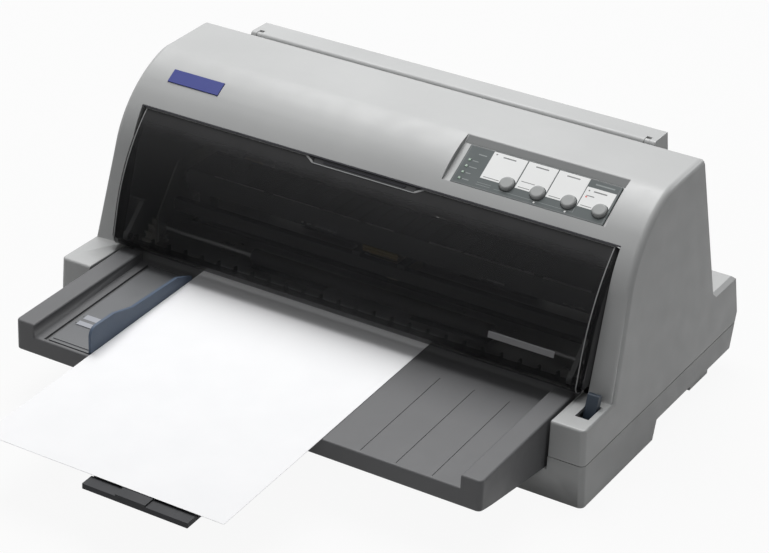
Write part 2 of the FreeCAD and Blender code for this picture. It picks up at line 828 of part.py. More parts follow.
def lower_cavity():
    """The space inside the lower case."""
    outline = [
        ("wall", "wall"),
        ("skirt_y - wall", "wall"),
        ("skirt_y + skirt_run - wall", "floor_inside"),
        ("tail_y - wall", "floor_inside"),
        ("case_depth - wall - (knee_z - seam_z - over) * knee_run", "seam_z + over"),
        ("wall", "seam_z + over"),
    ]
    cavity = Piece("lower_cavity", tool=True)
    cavity.add("X", "-half_width", "half_width", outline)
    cavity.cut("Y", "-over", "case_depth + over", *side_wedges("0", "seam_z + over", "wall"))
    return cavity


def lower_case():
    cavity = lower_cavity()
    case = Piece("lower_case")
    case.add("X", "-half_width", "half_width", [
        ("0", "0"),
        ("skirt_y", "0"),
        ("skirt_y + skirt_run", "bottom_rise"),
        ("tail_y", "bottom_rise"),
        ("case_depth - (knee_z - seam_z) * knee_run", "seam_z"),
        ("0", "seam_z"),
    ])
    case.cut("Y", "-over", "case_depth + over", *side_wedges("0", "seam_z"))
    case.hollow(cavity)
    for near, far in both_sides("block_inner", "block_inner + wall"):
        case.add("X", near, far, box("wall / 2", "foot_y + wall", "wall / 2", "seam_z"))
    case.cut("X", "-block_inner", "block_inner", box("-over", "wall + over", "tray_low_mid", "seam_z + over"))
    for near, far in both_sides("foot_x", "foot_x + foot_width"):
        case.add("X", near, far,
                 box("foot_front_y", "foot_front_y + foot_run", "foot_pad", "bottom_rise + wall / 2"))
    for sign in ("", "-"):
        case.cut("Z", "-over", "foot_pad", around(f"{sign}pad_x", "pad_y", "pad_half + gap", "pad_half + gap"))
    case.cut("Y", "socket_plate_y - over", "case_depth + over",
             box("socket_plate_left + wall", "socket_plate_right - wall", "floor_inside", "seam_z + over"))


def feet():
    for side, sign in (("left", "-"), ("right", "")):
        front = Piece(f"foot_front_{side}")
        front.add("Z", "0", "foot_pad", around(f"{sign}pad_x", "pad_y", "pad_half", "pad_half"))
        front.dress("Chamfer", "foot_round", lambda e: runs_along(e, "z"))
        rear = Piece(f"foot_rear_{side}")
        near, far = both_sides("foot_x + foot_pad", "foot_x + foot_width - foot_pad")[1 if sign else 0]
        rear.add("X", near, far,
                 box("foot_front_y + foot_pad", "foot_front_y + foot_run - foot_pad", "0", "foot_pad"))
        rear.dress("Chamfer", "foot_round", lambda e: runs_along(e, "z"))


def front_tray():
    tray = Piece("front_tray")
    tray.add("X", "-tray_half", "tray_half", [
        on_bed("-tray_reach"),
        ("-tray_reach", "tray_low_front"),
        ("tray_low_mid_y", "tray_low_mid"),
        ("tray_back_y", "tray_low_mid"),
        on_bed("tray_back_y"),
    ])
    for near, far in both_sides("rail_inner", "tray_half"):
        tray.add("X", near, far, [
            ("-tray_reach", "floor_front_z - tray_wall"),
            on_bed("rail_end_y", "-tray_wall"),
            ("rail_end_y", "rail_back_z"),
            ("rail_back_y", "rail_back_z"),
            ("-tray_reach", "rail_front_z"),
        ])
    reach, half = val("tray_reach"), val("tray_half")
    tray.dress("Fillet", "tray_corner", lambda e: abs(e.CenterOfMass.y + reach) < CLOSE
               and abs(abs(e.CenterOfMass.x) - half) < CLOSE and runs_along(e, "z"))
    tray.cut("X", "-(tray_half - tray_wall)", "tray_half - tray_wall", [
        on_bed("-tray_reach + tray_wall", "-tray_wall"),
        ("-tray_reach + tray_wall", "tray_low_front - tray_wall"),
        ("tray_low_mid_y", "tray_low_mid - over"),
        ("tray_back_y + over", "tray_low_mid - over"),
        on_bed("tray_back_y + over", "-tray_wall"),
    ])
    for near, far in both_sides("rail_inner + tray_wall", "tray_half - tray_wall"):
        tray.cut("X", near, far, [
            ("-tray_reach + tray_wall", "floor_front_z - tray_wall * 2"),
            on_bed("rail_end_y - tray_wall", "-tray_wall * 2"),
            ("rail_end_y - tray_wall", "rail_back_z - tray_wall"),
            ("rail_back_y", "rail_back_z - tray_wall"),
            ("-tray_reach + tray_wall", "rail_front_z - tray_wall"),
        ])
    # Well of the edge guide, slot and runners of the pull-out support, fine grooves
    tray.cut("X", "well_left", "fin_right + guide_travel + gap", [
        on_bed("-well_front", "-well_depth"),
        on_bed("well_back_y", "-well_depth"),
        on_bed("well_back_y", "over"),
        on_bed("-well_front", "over"),
    ])
    tray.cut("X", "support_left - gap", "support_left + support_width + gap", [
        on_bed("-tray_reach - over", "-(support_deep + gap)"),
        on_bed("-tray_reach + tray_wall + over", "-(support_deep + gap)"),
        on_bed("-tray_reach + tray_wall + over", "-tray_wall"),
        on_bed("-tray_reach - over", "-tray_wall"),
    ])
    ledge = [
        on_bed("-tray_reach + tray_wall / 2", "-(support_deep + gap + ledge_thick)"),
        on_bed("-tray_reach + ledge_length", "-(support_deep + gap + ledge_thick)"),
        on_bed("-tray_reach + ledge_length", "-(support_deep + gap)"),
        on_bed("-tray_reach + tray_wall / 2", "-(support_deep + gap)"),
    ]
    web = ledge[:2] + [
        on_bed("-tray_reach + ledge_length", "-tray_wall / 2"),
        on_bed("-tray_reach + tray_wall / 2", "-tray_wall / 2"),
    ]
    right_edge = "support_left + support_width"
    tray.add("X", "support_left - gap - ledge_thick", "support_left - gap", web)
    tray.add("X", f"{right_edge} + gap", f"{right_edge} + gap + ledge_thick", web)
    tray.add("X", "support_left - gap - ledge_thick / 2", "support_left + ledge_width", ledge)
    tray.add("X", f"{right_edge} - ledge_width", f"{right_edge} + gap + ledge_thick / 2", ledge)
    for n in count("groove_count"):
        middle = f"groove_first_x + groove_pitch * {n}"
        tray.cut("X", f"{middle} - groove_width / 2", f"{middle} + groove_width / 2", [
            on_bed("-tray_reach + groove_inset", "-groove_depth"),
            on_bed("groove_end_y", "-groove_depth"),
            on_bed("groove_end_y", "over"),
            on_bed("-tray_reach + groove_inset", "over"),
        ])


def edge_guide():
    guide = Piece("edge_guide")
    deep = "-well_depth + gap"
    guide.add("X", "guide_left", "fin_right", [
        on_bed("-guide_front", deep),
        on_bed("guide_back_y", deep),
        on_bed("guide_back_y"),
        on_bed("-guide_front"),
    ])
    guide.add("X", "fin_right - fin_thick", "fin_right", [
        on_bed("-guide_front", deep),
        ("-guide_front", "fin_front_top - fin_front_round", "-fin_front_round"),
        ("-guide_front + fin_front_round", "fin_front_top"),
        ("-fin_high_back", "fin_front_top"),
        ("-fin_mid", "fin_mid_top"),
        ("fin_flat_back_y", "fin_flat_top"),
        ("guide_back_y", "fin_tail_top"),
        on_bed("guide_back_y", deep),
    ])
    guide.add("X", "guide_left + thumb_inset", "fin_right - fin_thick / 2", [
        on_bed("-thumb_front", "-guide_thick / 2"),
        on_bed("-thumb_back", "-guide_thick / 2"),
        on_bed("-thumb_back", "thumb_rise / 2"),
        on_bed("-thumb_back - thumb_inset * 2", "thumb_rise"),
        on_bed("-thumb_front", "thumb_rise / 4"),
    ])
    for n in count("stripe_count"):
        low = f"-stripe_front + (stripe_run + stripe_gap) * {n}"
        guide.add("X", "guide_left + thumb_inset", "fin_right - fin_thick / 2", [
            on_bed(low, "-guide_thick / 2"),
            on_bed(f"{low} + stripe_run", "-guide_thick / 2"),
            on_bed(f"{low} + stripe_run", "stripe_rise"),
            on_bed(low, "stripe_rise / 2"),
        ])


def sheet_support():
    support = Piece("sheet_support")
    top = "-(tray_wall + gap)"

    def strip(back, low, high):
        return bed_strip("-support_reach", back, low, high)

    support.add("X", "support_left", "support_left + support_width", strip("-support_tail", "-support_deep", top))
    support.add("X", "support_left", "support_left + support_width",
                strip("-support_reach + support_bar", f"{top} - gap", "-support_bar_rise"))
    support.add("X", "support_grip_left", "support_grip_left + support_grip_width",
                strip("-support_reach + support_bar", f"{top} - gap", "0"))


def paper_sheet():
    paper = Piece("paper_sheet")
    paper.add("X", "sheet_left", "sheet_left + sheet_width", [
        on_bed("-sheet_front", "sheet_lift"),
        on_bed("-sheet_front + sheet_length", "sheet_lift"),
        on_bed("-sheet_front + sheet_length", "sheet_lift + sheet_thick"),
        on_bed("-sheet_front", "sheet_lift + sheet_thick"),
    ])


def front_cover():
    cover = Piece("front_cover")
    toe_y = "cover_low_y + cover_toe_radius * cover_lean_share"
    cover.add("X", "-cover_half", "cover_half", [
        (f"{toe_y} + cover_toe_radius", "cover_low_z"),
        ("cover_back_y", "cover_low_z"),
        ("temple_y + cover_back_inset", "temple_z"),
        ("cover_top_y + cover_top_bevel", "cover_top_z - cover_top_bevel"),
        ("cover_top_y", "cover_top_z", "cover_radius"),
        ("cover_bend_y", "cover_bend_z"),
        (toe_y, "cover_low_z + cover_toe_radius", "cover_toe_radius"),
    ])
    half, bend = val("cover_half"), val("cover_back_y")
    back_share = (val("temple_y + cover_back_inset") - bend) / (val("temple_z") - val("cover_low_z"))

    def on_face_edge(edge):
        middle = edge.valueAt((edge.FirstParameter + edge.LastParameter) / 2)
        back = bend + (middle.z - val("cover_low_z")) * back_share
        ahead = middle.y < back - val("wall") and middle.z > val("cover_low_z + over")
        return abs(abs(middle.x) - half) < CLOSE and ahead

    cover.dress("Chamfer", "cover_edge_round", on_face_edge)
    cover.cut("X", "-(cover_half - cover_wall)", "cover_half - cover_wall", [
        (f"{toe_y} + cover_toe_radius", "cover_low_z + cover_wall"),
        ("cover_top_y + jamb_depth", "cover_low_z + cover_wall"),
        ("cover_top_y + jamb_depth", "cover_in_top_z"),
        ("cover_in_top_y", "cover_in_top_z", "cover_radius - cover_wall"),
        ("cover_bend_y + cover_wall * cos(cover_lean)", "cover_bend_z - cover_wall * sin(cover_lean)"),
        (f"{toe_y} + cover_wall", "cover_low_z + cover_toe_radius"),
    ])
    # Finger notch in the top edge, comb of ribs along the toe, pins and their clearance
    cover.cut("X", "grip_x - grip_width / 2", "grip_x + grip_width / 2",
              box("cover_top_y - jamb_depth", "cover_top_y + jamb_depth",
                  "cover_top_z - grip_notch", "cover_top_z + over"))
    half_ribs = int(val("(ear_x - comb_rib * 2) / comb_pitch"))
    ribs = []
    for n in range(-half_ribs, half_ribs + 1):
        middle = f"comb_pitch * {n}"
        ribs.append(box(f"{middle} - comb_rib / 2", f"{middle} + comb_rib / 2",
                        "cover_low_z + cover_wall / 2", "cover_low_z + comb_rise"))
    cover.add("Y", "cover_low_y + cover_wall * 2", "cover_pivot_y", *ribs)
    for near, far in both_sides("ear_x - gap * 2", "ear_x + ear_wall + gap * 2"):
        cover.cut("X", near, far, box("cover_pivot_y + ear_radius / 2", "cover_back_y + over",
                                      "cover_low_z - over", "cover_low_z + cover_wall + over"))
    for near, far in both_sides("ear_x - over", "cover_half - cover_wall / 2"):
        cover.add("X", near, far, ring("cover_pivot_y", "cover_pivot_z", "cover_pin_radius"))
    label = Piece("cover_label")
    low, high = "label_low_z", "label_low_z + label_height"
    face = "cover_low_y + ({} - cover_low_z) * cover_lean_share"
    label.add("X", "label_x - label_width / 2", "label_x + label_width / 2", [
        (face.format(low), low),
        (face.format(high), high),
        (face.format(high) + " - plate_thin", high),
        (face.format(low) + " - plate_thin", low),
    ])


def badge_plate():
    badge = Piece("badge_plate", y="badge_y", z="badge_z", tilt="badge_tilt")
    badge.add("Z", "-badge_sink", "badge_thick - badge_sink",
              around("badge_x", "0", "badge_width / 2", "badge_height / 2"))


def lamp_spots(half):
    """Four small squares in a column at the left end of the panel."""
    rows = [f"button_along + lamp_pitch * ({n} - 1)" for n in count("lamp_count")]
    return [around("lamp_x", row, half, half) for row in rows]


def button_spots():
    return [f"button_first_x + button_pitch * {n}" for n in count("button_count")]


def control_panel():
    place = {"y": "panel_low_y", "z": "panel_low_z", "tilt": "panel_tilt"}
    panel = Piece("control_panel", **place)
    panel.add("Z", "0", "panel_thick",
              box("panel_left", "panel_right", "panel_margin", "panel_margin + panel_run"))
    holes = [ring(x, "button_along", "panel_hole_half") for x in button_spots()]
    panel.cut("Z", "-over", "panel_thick + over", *holes)
    panel.cut("Z", "-over", "panel_thick + over", *lamp_spots("lamp_half + pin_gap"))
    lamps = Piece("panel_lamps", **place)
    lamps.add("Z", "0", "panel_thick + lamp_proud", *lamp_spots("lamp_half"))
    for n, x in enumerate(button_spots(), start=1):
        button = Piece(f"button_{n}", **place)
        button.add("Z", "-button_stem_depth", "panel_thick + button_proud",
                   ring(x, "button_along", "button_radius"))
    board = Piece("panel_board", **place)
    board.add("Z", "-(board_deep + board_thick)", "-board_deep",
              box("recess_left + wall", "recess_right - wall", "-wall", "panel_run - wall"))
    posts = []
    for x in ("recess_left + wall * 3", "recess_right - wall * 3"):
        posts.append(around(x, "panel_run - wall * 2", "board_thick", "wall / 2"))
    board.add("Z", "-board_deep - board_thick / 2", "-(panel_floor + gap)", *posts)
    switches = [around(x, "button_along", "switch_size / 2", "switch_size / 2") for x in button_spots()]
    board.add("Z", "-board_deep - board_thick / 2", "-board_deep + switch_height", *switches)


def release_lever():
    lever = Piece("release_lever", y="lever_pivot_y", z="lever_pivot_z", tilt="-lever_half_swing")
    left, right = "slot_left + lever_side_gap", "slot_right - lever_side_gap"
    lever.add("X", left, right, box("-lever_thick / 2", "lever_thick / 2", "0", "lever_height"))
    lever.dress("Fillet", "lever_thick / 3", lambda e: runs_along(e, "x") and e.CenterOfMass.z > val("lever_hub"))
    lever.add("X", left, right, ring("0", "0", "lever_hub"))
    lever.add("X", "slot_left - bracket_gap - bracket_wall", "slot_right + bracket_gap + bracket_wall",
              ring("0", "0", "lever_pin_radius"))
    bracket = Piece("lever_bracket")
    low, high = "lever_pivot_y - bracket_half_run", "lever_pivot_y + bracket_half_run"
    outer = ("slot_left - bracket_gap - bracket_wall", "slot_right + bracket_gap + bracket_wall")
    bracket.add("X", *outer, box(low, high, "wall", "lever_pivot_z + lever_hub"))
    bracket.cut("X", "slot_left - bracket_gap", "slot_right + bracket_gap",
                box(f"{low} - over", f"{high} + over", "wall + bracket_wall", "lever_pivot_z + lever_hub + over"))
    bracket.cut("X", f"{outer[0]} - over", f"{outer[1]} + over",
                ring("lever_pivot_y", "lever_pivot_z", "lever_pin_radius + pin_gap"))


def rear_cover():
    hood = Piece("rear_cover")
    behind = "shoulder_y + (case_height - ({})) * (back_foot_y - shoulder_y) / (case_height - step_z) + gap * 3"
    hood.add("X", "-hood_half", "hood_half", [
        ("hood_pivot_y", "case_height"),
        ("hood_pivot_y", "hood_pivot_z"),
        (behind.format("hood_pivot_z - hood_bead * 2"), "hood_pivot_z - hood_bead * 2"),
        (behind.format("hood_low_z"), "hood_low_z"),
        ("hood_low_y", "hood_low_z"),
        ("hood_back_y", "case_height"),
    ])
    hood.cut("X", "-(hood_half - hood_wall)", "hood_half - hood_wall", [
        ("hood_pivot_y + hood_bead / 2", "case_height - hood_wall"),
        ("hood_pivot_y - hood_bead * 2", "hood_low_z - over"),
        ("hood_low_y - hood_wall - over * hood_lean_share", "hood_low_z - over"),
        ("hood_back_y - hood_wall", "case_height - hood_wall"),
    ])
    hood.add("X", "-hood_half", "hood_half", ring("hood_pivot_y", "hood_pivot_z", "hood_bead"))
    for near, far in both_sides("rear_open_half - gap", "rear_open_half + lug_wall + gap"):
        hood.cut("X", near, far, box("hood_pivot_y - hood_bead - over", "hood_pivot_y + hood_bead + gap",
                                     "hood_pivot_z - hood_bead * 4", "case_height + over"))
    for near, far in both_sides("rear_open_half - over", "hood_half - over"):
        hood.add("X", near, far, ring("hood_pivot_y", "hood_pivot_z", "hood_pin_radius"))
    vents = []
    for row in count("vent_rows"):
        low = f"vent_low_z + vent_height * 3 * {row}"
        for n in count("vent_count"):
            middle = f"vent_pitch * ({n} - (vent_count - 1) / 2)"
            vents.append(around(middle, f"{low} + vent_height / 2", "vent_width / 2", "vent_height / 2"))
    hood.cut("Y", "hood_back_y - hood_wall", "hood_low_y + over", *vents)


def side_frames():
    outline = [
        ("frame_front_y", "wall"),
        ("frame_toe_y", "wall"),
        ("frame_toe_y", "deck_z"),
        ("frame_back_y", "deck_z"),
        ("frame_back_y", "frame_shelf_z"),
        ("frame_back_y - frame_slope_run", "frame_top_z"),
        ("ribbon_front_y", "frame_top_z"),
        ("frame_front_y", "frame_shelf_z"),
    ]
    for side, (near, far) in zip(("right", "left"), both_sides("frame_x", "frame_x + frame_wall")):
        frame = Piece(f"side_frame_{side}")
        frame.add("X", near, far, outline)
        holes = [
            ring("front_roller_y", "front_roller_z", "shaft_radius + pin_gap"),
            ring("rear_roller_y", "rear_roller_z", "shaft_radius + pin_gap"),
            ring("front_roller_y", "front_roller_z + pinch_over", "pinch_shaft_radius + pin_gap"),
            ring("rear_roller_y", "rear_roller_z + pinch_over", "pinch_shaft_radius + pin_gap"),
        ]
        if side == "left":
            holes.append(ring("pinion_y", "pinion_z", "motor_shaft_radius * 3"))
            frame.add("X", "-(gear_x + bush_flange)", "-frame_x - over / 2",
                      ring("idler_y", "idler_z", "idler_pin_radius"))
        frame.cut("X", f"{near} - over", f"{far} + over", *holes)


def chassis():
    plate = Piece("chassis_plate")
    plate.add("Z", "floor_inside", "deck_z",
              box("-(frame_x + frame_wall)", "frame_x + frame_wall", "chassis_front_y", "socket_plate_y"))
    return plate


def sleeve_spans():
    return both_sides("sleeve_x - sleeve_width / 2", "sleeve_x + sleeve_width / 2")


def rollers():
    for end in ("front", "rear"):
        y, z = f"{end}_roller_y", f"{end}_roller_z"
        roller = Piece(f"{end}_feed_roller")
        roller.add("X", "-(gear_x + bush_flange)", "frame_x + frame_wall + bush_flange",
                   ring(y, z, "shaft_radius"))
        for near, far in sleeve_spans():
            roller.add("X", near, far, ring(y, z, "roller_radius"))
        pinch = Piece(f"{end}_pinch_roller")
        pinch.add("X", "-(frame_x + frame_wall)", "frame_x + frame_wall",
                  ring(y, f"{z} + pinch_over", "pinch_shaft_radius"))
        pinch.add("X", "-pinch_half", "pinch_half", ring(y, f"{z} + pinch_over", "pinch_radius"))


def paper_guides():
    bar_front, bar_back = "platen_y - platen_run / 2", "platen_y + platen_run / 2"
    front = Piece("front_paper_guide")
    front.add("X", "-frame_x", "frame_x", bed_strip("tray_back_y + gap", bar_front, "-guide_plate", "0"))
    rear = Piece("rear_paper_guide")
    rear.add("X", "-frame_x", "frame_x", bed_strip(bar_back, "frame_back_y", "-guide_plate", "0"))
    for guide, y in ((front, "front_roller_y"), (rear, "rear_roller_y")):
        windows = []
        for near, far in sleeve_spans():
            windows.append(box(f"{near} - over", f"{far} + over", f"{y} - roller_radius", f"{y} + roller_radius"))
        guide.cut("Z", "floor_front_z", "case_height / 2", *windows)
    bar = Piece("platen_bar")
    bar.add("X", "-frame_x", "frame_x", bed_strip(bar_front, bar_back, "-platen_bar", "-platen_pad"))
    bar.add("X", "-platen_half", "platen_half", bed_strip(bar_front, bar_back, "-platen_bar / 2", "0"))


def gear(name, teeth, y, z, phase, bore):
    """A spur gear on an axis along X: a disc, one tooth, and the tooth repeated round it."""
    wheel = Piece(name, y=y, z=z, tilt=phase)
    pitch = f"{teeth} * gear_module / 2"
    root, tip = f"{pitch} - gear_module * dedendum_share", f"{pitch} + gear_module * addendum_share"
    half = "tooth_share * pi * gear_module / 2"
    spread = "tan(pressure_angle) * gear_module"
    wheel.add("X", "-gear_x", "-gear_near_x", ring("0", "0", root))
    wheel.add("X", "-gear_x", "-gear_near_x", [
        (f"{root} - gear_module / 2", f"-({half} + {spread} * dedendum_share)"),
        (tip, f"-({half} - {spread} * addendum_share)"),
        (tip, f"{half} - {spread} * addendum_share"),
        (f"{root} - gear_module / 2", f"{half} + {spread} * dedendum_share"),
    ])
    tooth = wheel.body.Group[-1]
    pattern = wheel.body.newObject("PartDesign::PolarPattern", f"{name}_teeth")
    pattern.Originals = [tooth]
    axis = [o for o in wheel.body.Origin.OriginFeatures if o.Role == "X_Axis"][0]
    pattern.Axis = (axis, [""])
    pattern.Angle = 360
    pattern.setExpression("Occurrences", bind(teeth))
    wheel.body.Tip = pattern
    if bore:
        wheel.cut("X", "-gear_x - over", "-gear_near_x + over", ring("0", "0", bore))
    return wheel


def gears():
    gear("front_roller_gear", "roller_teeth", "front_roller_y", "front_roller_z", "paper_slope", "shaft_radius")
    gear("rear_roller_gear", "roller_teeth", "rear_roller_y", "rear_roller_z", "paper_slope + 180", "shaft_radius")
    gear("idler_gear", "idler_teeth", "idler_y", "idler_z", "paper_slope + 180 + 180 / idler_teeth",
         "idler_pin_radius + pin_gap")
    turned = "paper_slope + pinion_angle + 180 + roller_teeth / pinion_teeth * pinion_angle + 180 / pinion_teeth"
    pinion = gear("motor_pinion", "pinion_teeth", "pinion_y", "pinion_z", turned, None)
    pinion.add("X", "-gear_near_x - over", "-frame_x + feed_motor_length / 3",
               ring("0", "0", "motor_shaft_radius"))
    motor = Piece("feed_motor")
    motor.add("X", "-frame_x", "-frame_x + feed_motor_length",
              around("pinion_y", "pinion_z", "feed_motor_half", "feed_motor_half"))
    motor.dress("Chamfer", "motor_corner", lambda e: runs_along(e, "x"))
    motor.cut("X", "-frame_x - over", "-frame_x + feed_motor_length / 2",
              ring("pinion_y", "pinion_z", "motor_shaft_radius + pin_gap"))


def carriage():
    rod = Piece("carriage_rod")
    rod.add("X", "-frame_x", "frame_x", ring("rod_y", "rod_z", "rod_radius"))
    rail = Piece("front_rail")
    rail.add("X", "-frame_x", "frame_x", box("rail_y", "rail_y + rail_run", "rail_z", "rail_z + rail_rise"))
    rail.cut("X", "-frame_x - over", "frame_x + over",
             box("rail_y + frame_wall", "rail_y + rail_run + over",
                 "rail_z + frame_wall", "rail_z + rail_rise - frame_wall"))
    slide = Piece("carriage_block")
    slide.add("X", "-carriage_half", "carriage_half", ring("rod_y", "rod_z", "carriage_bush"))
    slide.add("X", "-carriage_half", "carriage_half",
              box("head_back_y", "rod_y", "head_low_z + nose_run", "head_top_z + over"))
    for near, far in both_sides("head_half + gap", "carriage_half"):
        slide.add("X", near, far, box("rail_y", "rod_y", "rail_z + rail_rise + gap", "head_top_z + over"))
    slide.add("X", "-carriage_half / 2", "carriage_half / 2",
              box("rod_y", "pulley_y + belt_width / 2 + belt_lip", "belt_under_z - belt_lip", "belt_under_z"))
    for sign in ("-", "+"):
        mid = f"pulley_y {sign} (belt_width / 2 + belt_lip / 2)"
        slide.add("X", "-carriage_half / 2", "carriage_half / 2",
                  around(mid, "belt_under_z", "belt_lip / 4", "belt_lip / 2"))
    slide.cut("X", "-carriage_half - over", "carriage_half + over", ring("rod_y", "rod_z", "rod_radius + pin_gap"))
    head = Piece("print_head")
    head.add("X", "-head_half", "head_half", box("head_front_y", "head_back_y", "head_low_z", "head_top_z"))
    head.add("X", "-nose_half", "nose_half",
             box("platen_y - nose_run", "platen_y + nose_run", "nose_low_z", "head_low_z + over"))
    slots = []
    for n in count("fin_count"):
        low = f"head_low_z + fin_gap + fin_pitch * {n}"
        slots.append(box("-head_half - over", "head_half + over", low, f"{low} + fin_gap"))
    head.cut("Y", "head_front_y - over", "head_front_y + fin_depth", *slots)


def pulley(name, side, bore):
    """A belt pulley on an axis along Y."""
    wheel = Piece(name)
    low, high = "pulley_y - belt_width / 2 - gap", "pulley_y + belt_width / 2 + gap"
    wheel.add("Y", low, high, ring(f"{side}pulley_x", "pulley_z", "pulley_radius - gap"))
    if bore:
        wheel.cut("Y", f"{low} - over", f"{high} + over", ring(f"{side}pulley_x", "pulley_z", bore))
    return wheel


def belt_drive():
    drive = pulley("drive_pulley", "-", None)
    pulley("idler_pulley", "", "idler_pin_radius + pin_gap")
    belt = Piece("timing_belt")
    low, high = "pulley_y - belt_width / 2", "pulley_y + belt_width / 2"
    for radius, make in (("pulley_radius + belt_thick", belt.add), ("pulley_radius", belt.cut)):
        make("Y", low, high, box("-pulley_x", "pulley_x", f"pulley_z - ({radius})", f"pulley_z + {radius}"))
        for sign in ("-", ""):
            make("Y", low, high, ring(f"{sign}pulley_x", "pulley_z", radius))
    beside = "belt_width / 2 + gap * 2 + plate_gap"
    plate_y = (f"pulley_y + {beside}", f"pulley_y + {beside} + motor_plate")
    for side, sign in (("left", "-"), ("right", "")):
        near, far = both_sides("pulley_x - belt_motor_half", "frame_x")[1 if sign else 0]
        plate = Piece("motor_bracket" if sign else "tension_bracket")
        plate.add("Y", *plate_y, box(near, far, "pulley_z - belt_motor_half", "pulley_z + belt_motor_half"))
        if sign:
            plate.cut("Y", f"{plate_y[0]} - over", f"{plate_y[1]} + over",
                      ring("-pulley_x", "pulley_z", "motor_shaft_radius * 3"))
        else:
            plate.add("Y", f"pulley_y - ({beside})", plate_y[1], ring("pulley_x", "pulley_z", "idler_pin_radius"))
    motor = Piece("belt_motor")
    face = plate_y[1]
    motor.add("Y", face, f"{face} + belt_motor_length",
              around("-pulley_x", "pulley_z", "belt_motor_half", "belt_motor_half"))
    motor.dress("Chamfer", "motor_corner", lambda e: runs_along(e, "y"))
    motor.cut("Y", f"{face} - over", f"{face} + belt_motor_length / 2",
              ring("-pulley_x", "pulley_z", "motor_shaft_radius + pin_gap"))
    drive.add("Y", "pulley_y", f"{face} + belt_motor_length / 3",
              ring("-pulley_x", "pulley_z", "motor_shaft_radius"))


def ribbon():
    cartridge = Piece("ribbon_cartridge")
    cartridge.add("X", "-ribbon_half", "ribbon_half",
                  box("ribbon_front_y", "ribbon_back_y", "ribbon_low_z", "ribbon_top_z"))
    front, back = "platen_y - ribbon_band_width / 2", "platen_y + ribbon_band_width / 2"
    for near, far in both_sides("ribbon_half - ribbon_arm", "ribbon_half"):
        cartridge.add("X", near, far, box(f"{front} - gap", f"{back} + gap", "band_low_z", "ribbon_low_z + over"))
    for near, far in both_sides("ribbon_half - over", "frame_x"):
        cartridge.add("X", near, far, box("ribbon_front_y + ribbon_arm", "ribbon_back_y - ribbon_arm",
                                          "ribbon_low_z + over", "ribbon_low_z + ribbon_arm"))
    cartridge.cut("Z", "ribbon_top_z - knob_height", "ribbon_top_z + over",
                  ring("knob_x", "platen_y", "knob_radius / 2 + pin_gap"))
    band = Piece("ribbon_band")
    band.add("X", "-(ribbon_half - ribbon_arm)", "ribbon_half - ribbon_arm",
             box(front, back, "band_low_z", "band_low_z + ribbon_band_thick"))
    knob = Piece("ribbon_knob")
    knob.turn("Z", "knob_x", "platen_y", [
        ("ribbon_top_z - knob_height + gap", "0"),
        ("ribbon_top_z - knob_height + gap", "knob_radius / 2"),
        ("ribbon_top_z + gap", "knob_radius / 2"),
        ("ribbon_top_z + gap", "knob_radius"),
        ("ribbon_top_z + knob_height", "knob_radius"),
        ("ribbon_top_z + knob_height", "0"),
    ])


def electronics(plate):
    spots = []
    for x in ("main_board_left + post_half * 2", "main_board_right - post_half * 2"):
        for y in ("main_board_front_y + post_half * 2", "main_board_back_y - post_half * 2"):
            spots.append(around(x, y, "post_half", "post_half"))
    plate.add("Z", "floor_inside", "deck_z + post_height", *spots)
    board = Piece("main_board")
    board_z = "deck_z + post_height"
    board.add("Z", board_z, f"{board_z} + board_thick",
              box("main_board_left", "main_board_right", "main_board_front_y", "main_board_back_y"))
    for n in count("chip_count"):
        x = f"main_board_left + chip_size * (1 + {n} * 2)"
        y = "main_board_front_y + chip_size"
        board.add("Z", f"{board_z} + board_thick / 2", f"{board_z} + board_thick + chip_height",
                  box(x, f"{x} + chip_size", y, f"{y} + chip_size"))
    supply = Piece("power_supply")
    supply.add("Z", "deck_z", "deck_z + board_thick",
               box("supply_left", "supply_right", "supply_front_y", "main_board_back_y"))
    left, right, front = "supply_left + wall * 2", "supply_right - wall * 2", "supply_front_y + wall * 2"
    supply.add("Z", "deck_z + board_thick / 2", "deck_z + trafo_height",
               box(left, f"{left} + trafo_size", front, f"{front} + trafo_size"),
               box(f"{right} - trafo_size", right, f"{front} + trafo_size", f"{front} + trafo_size * 2"))


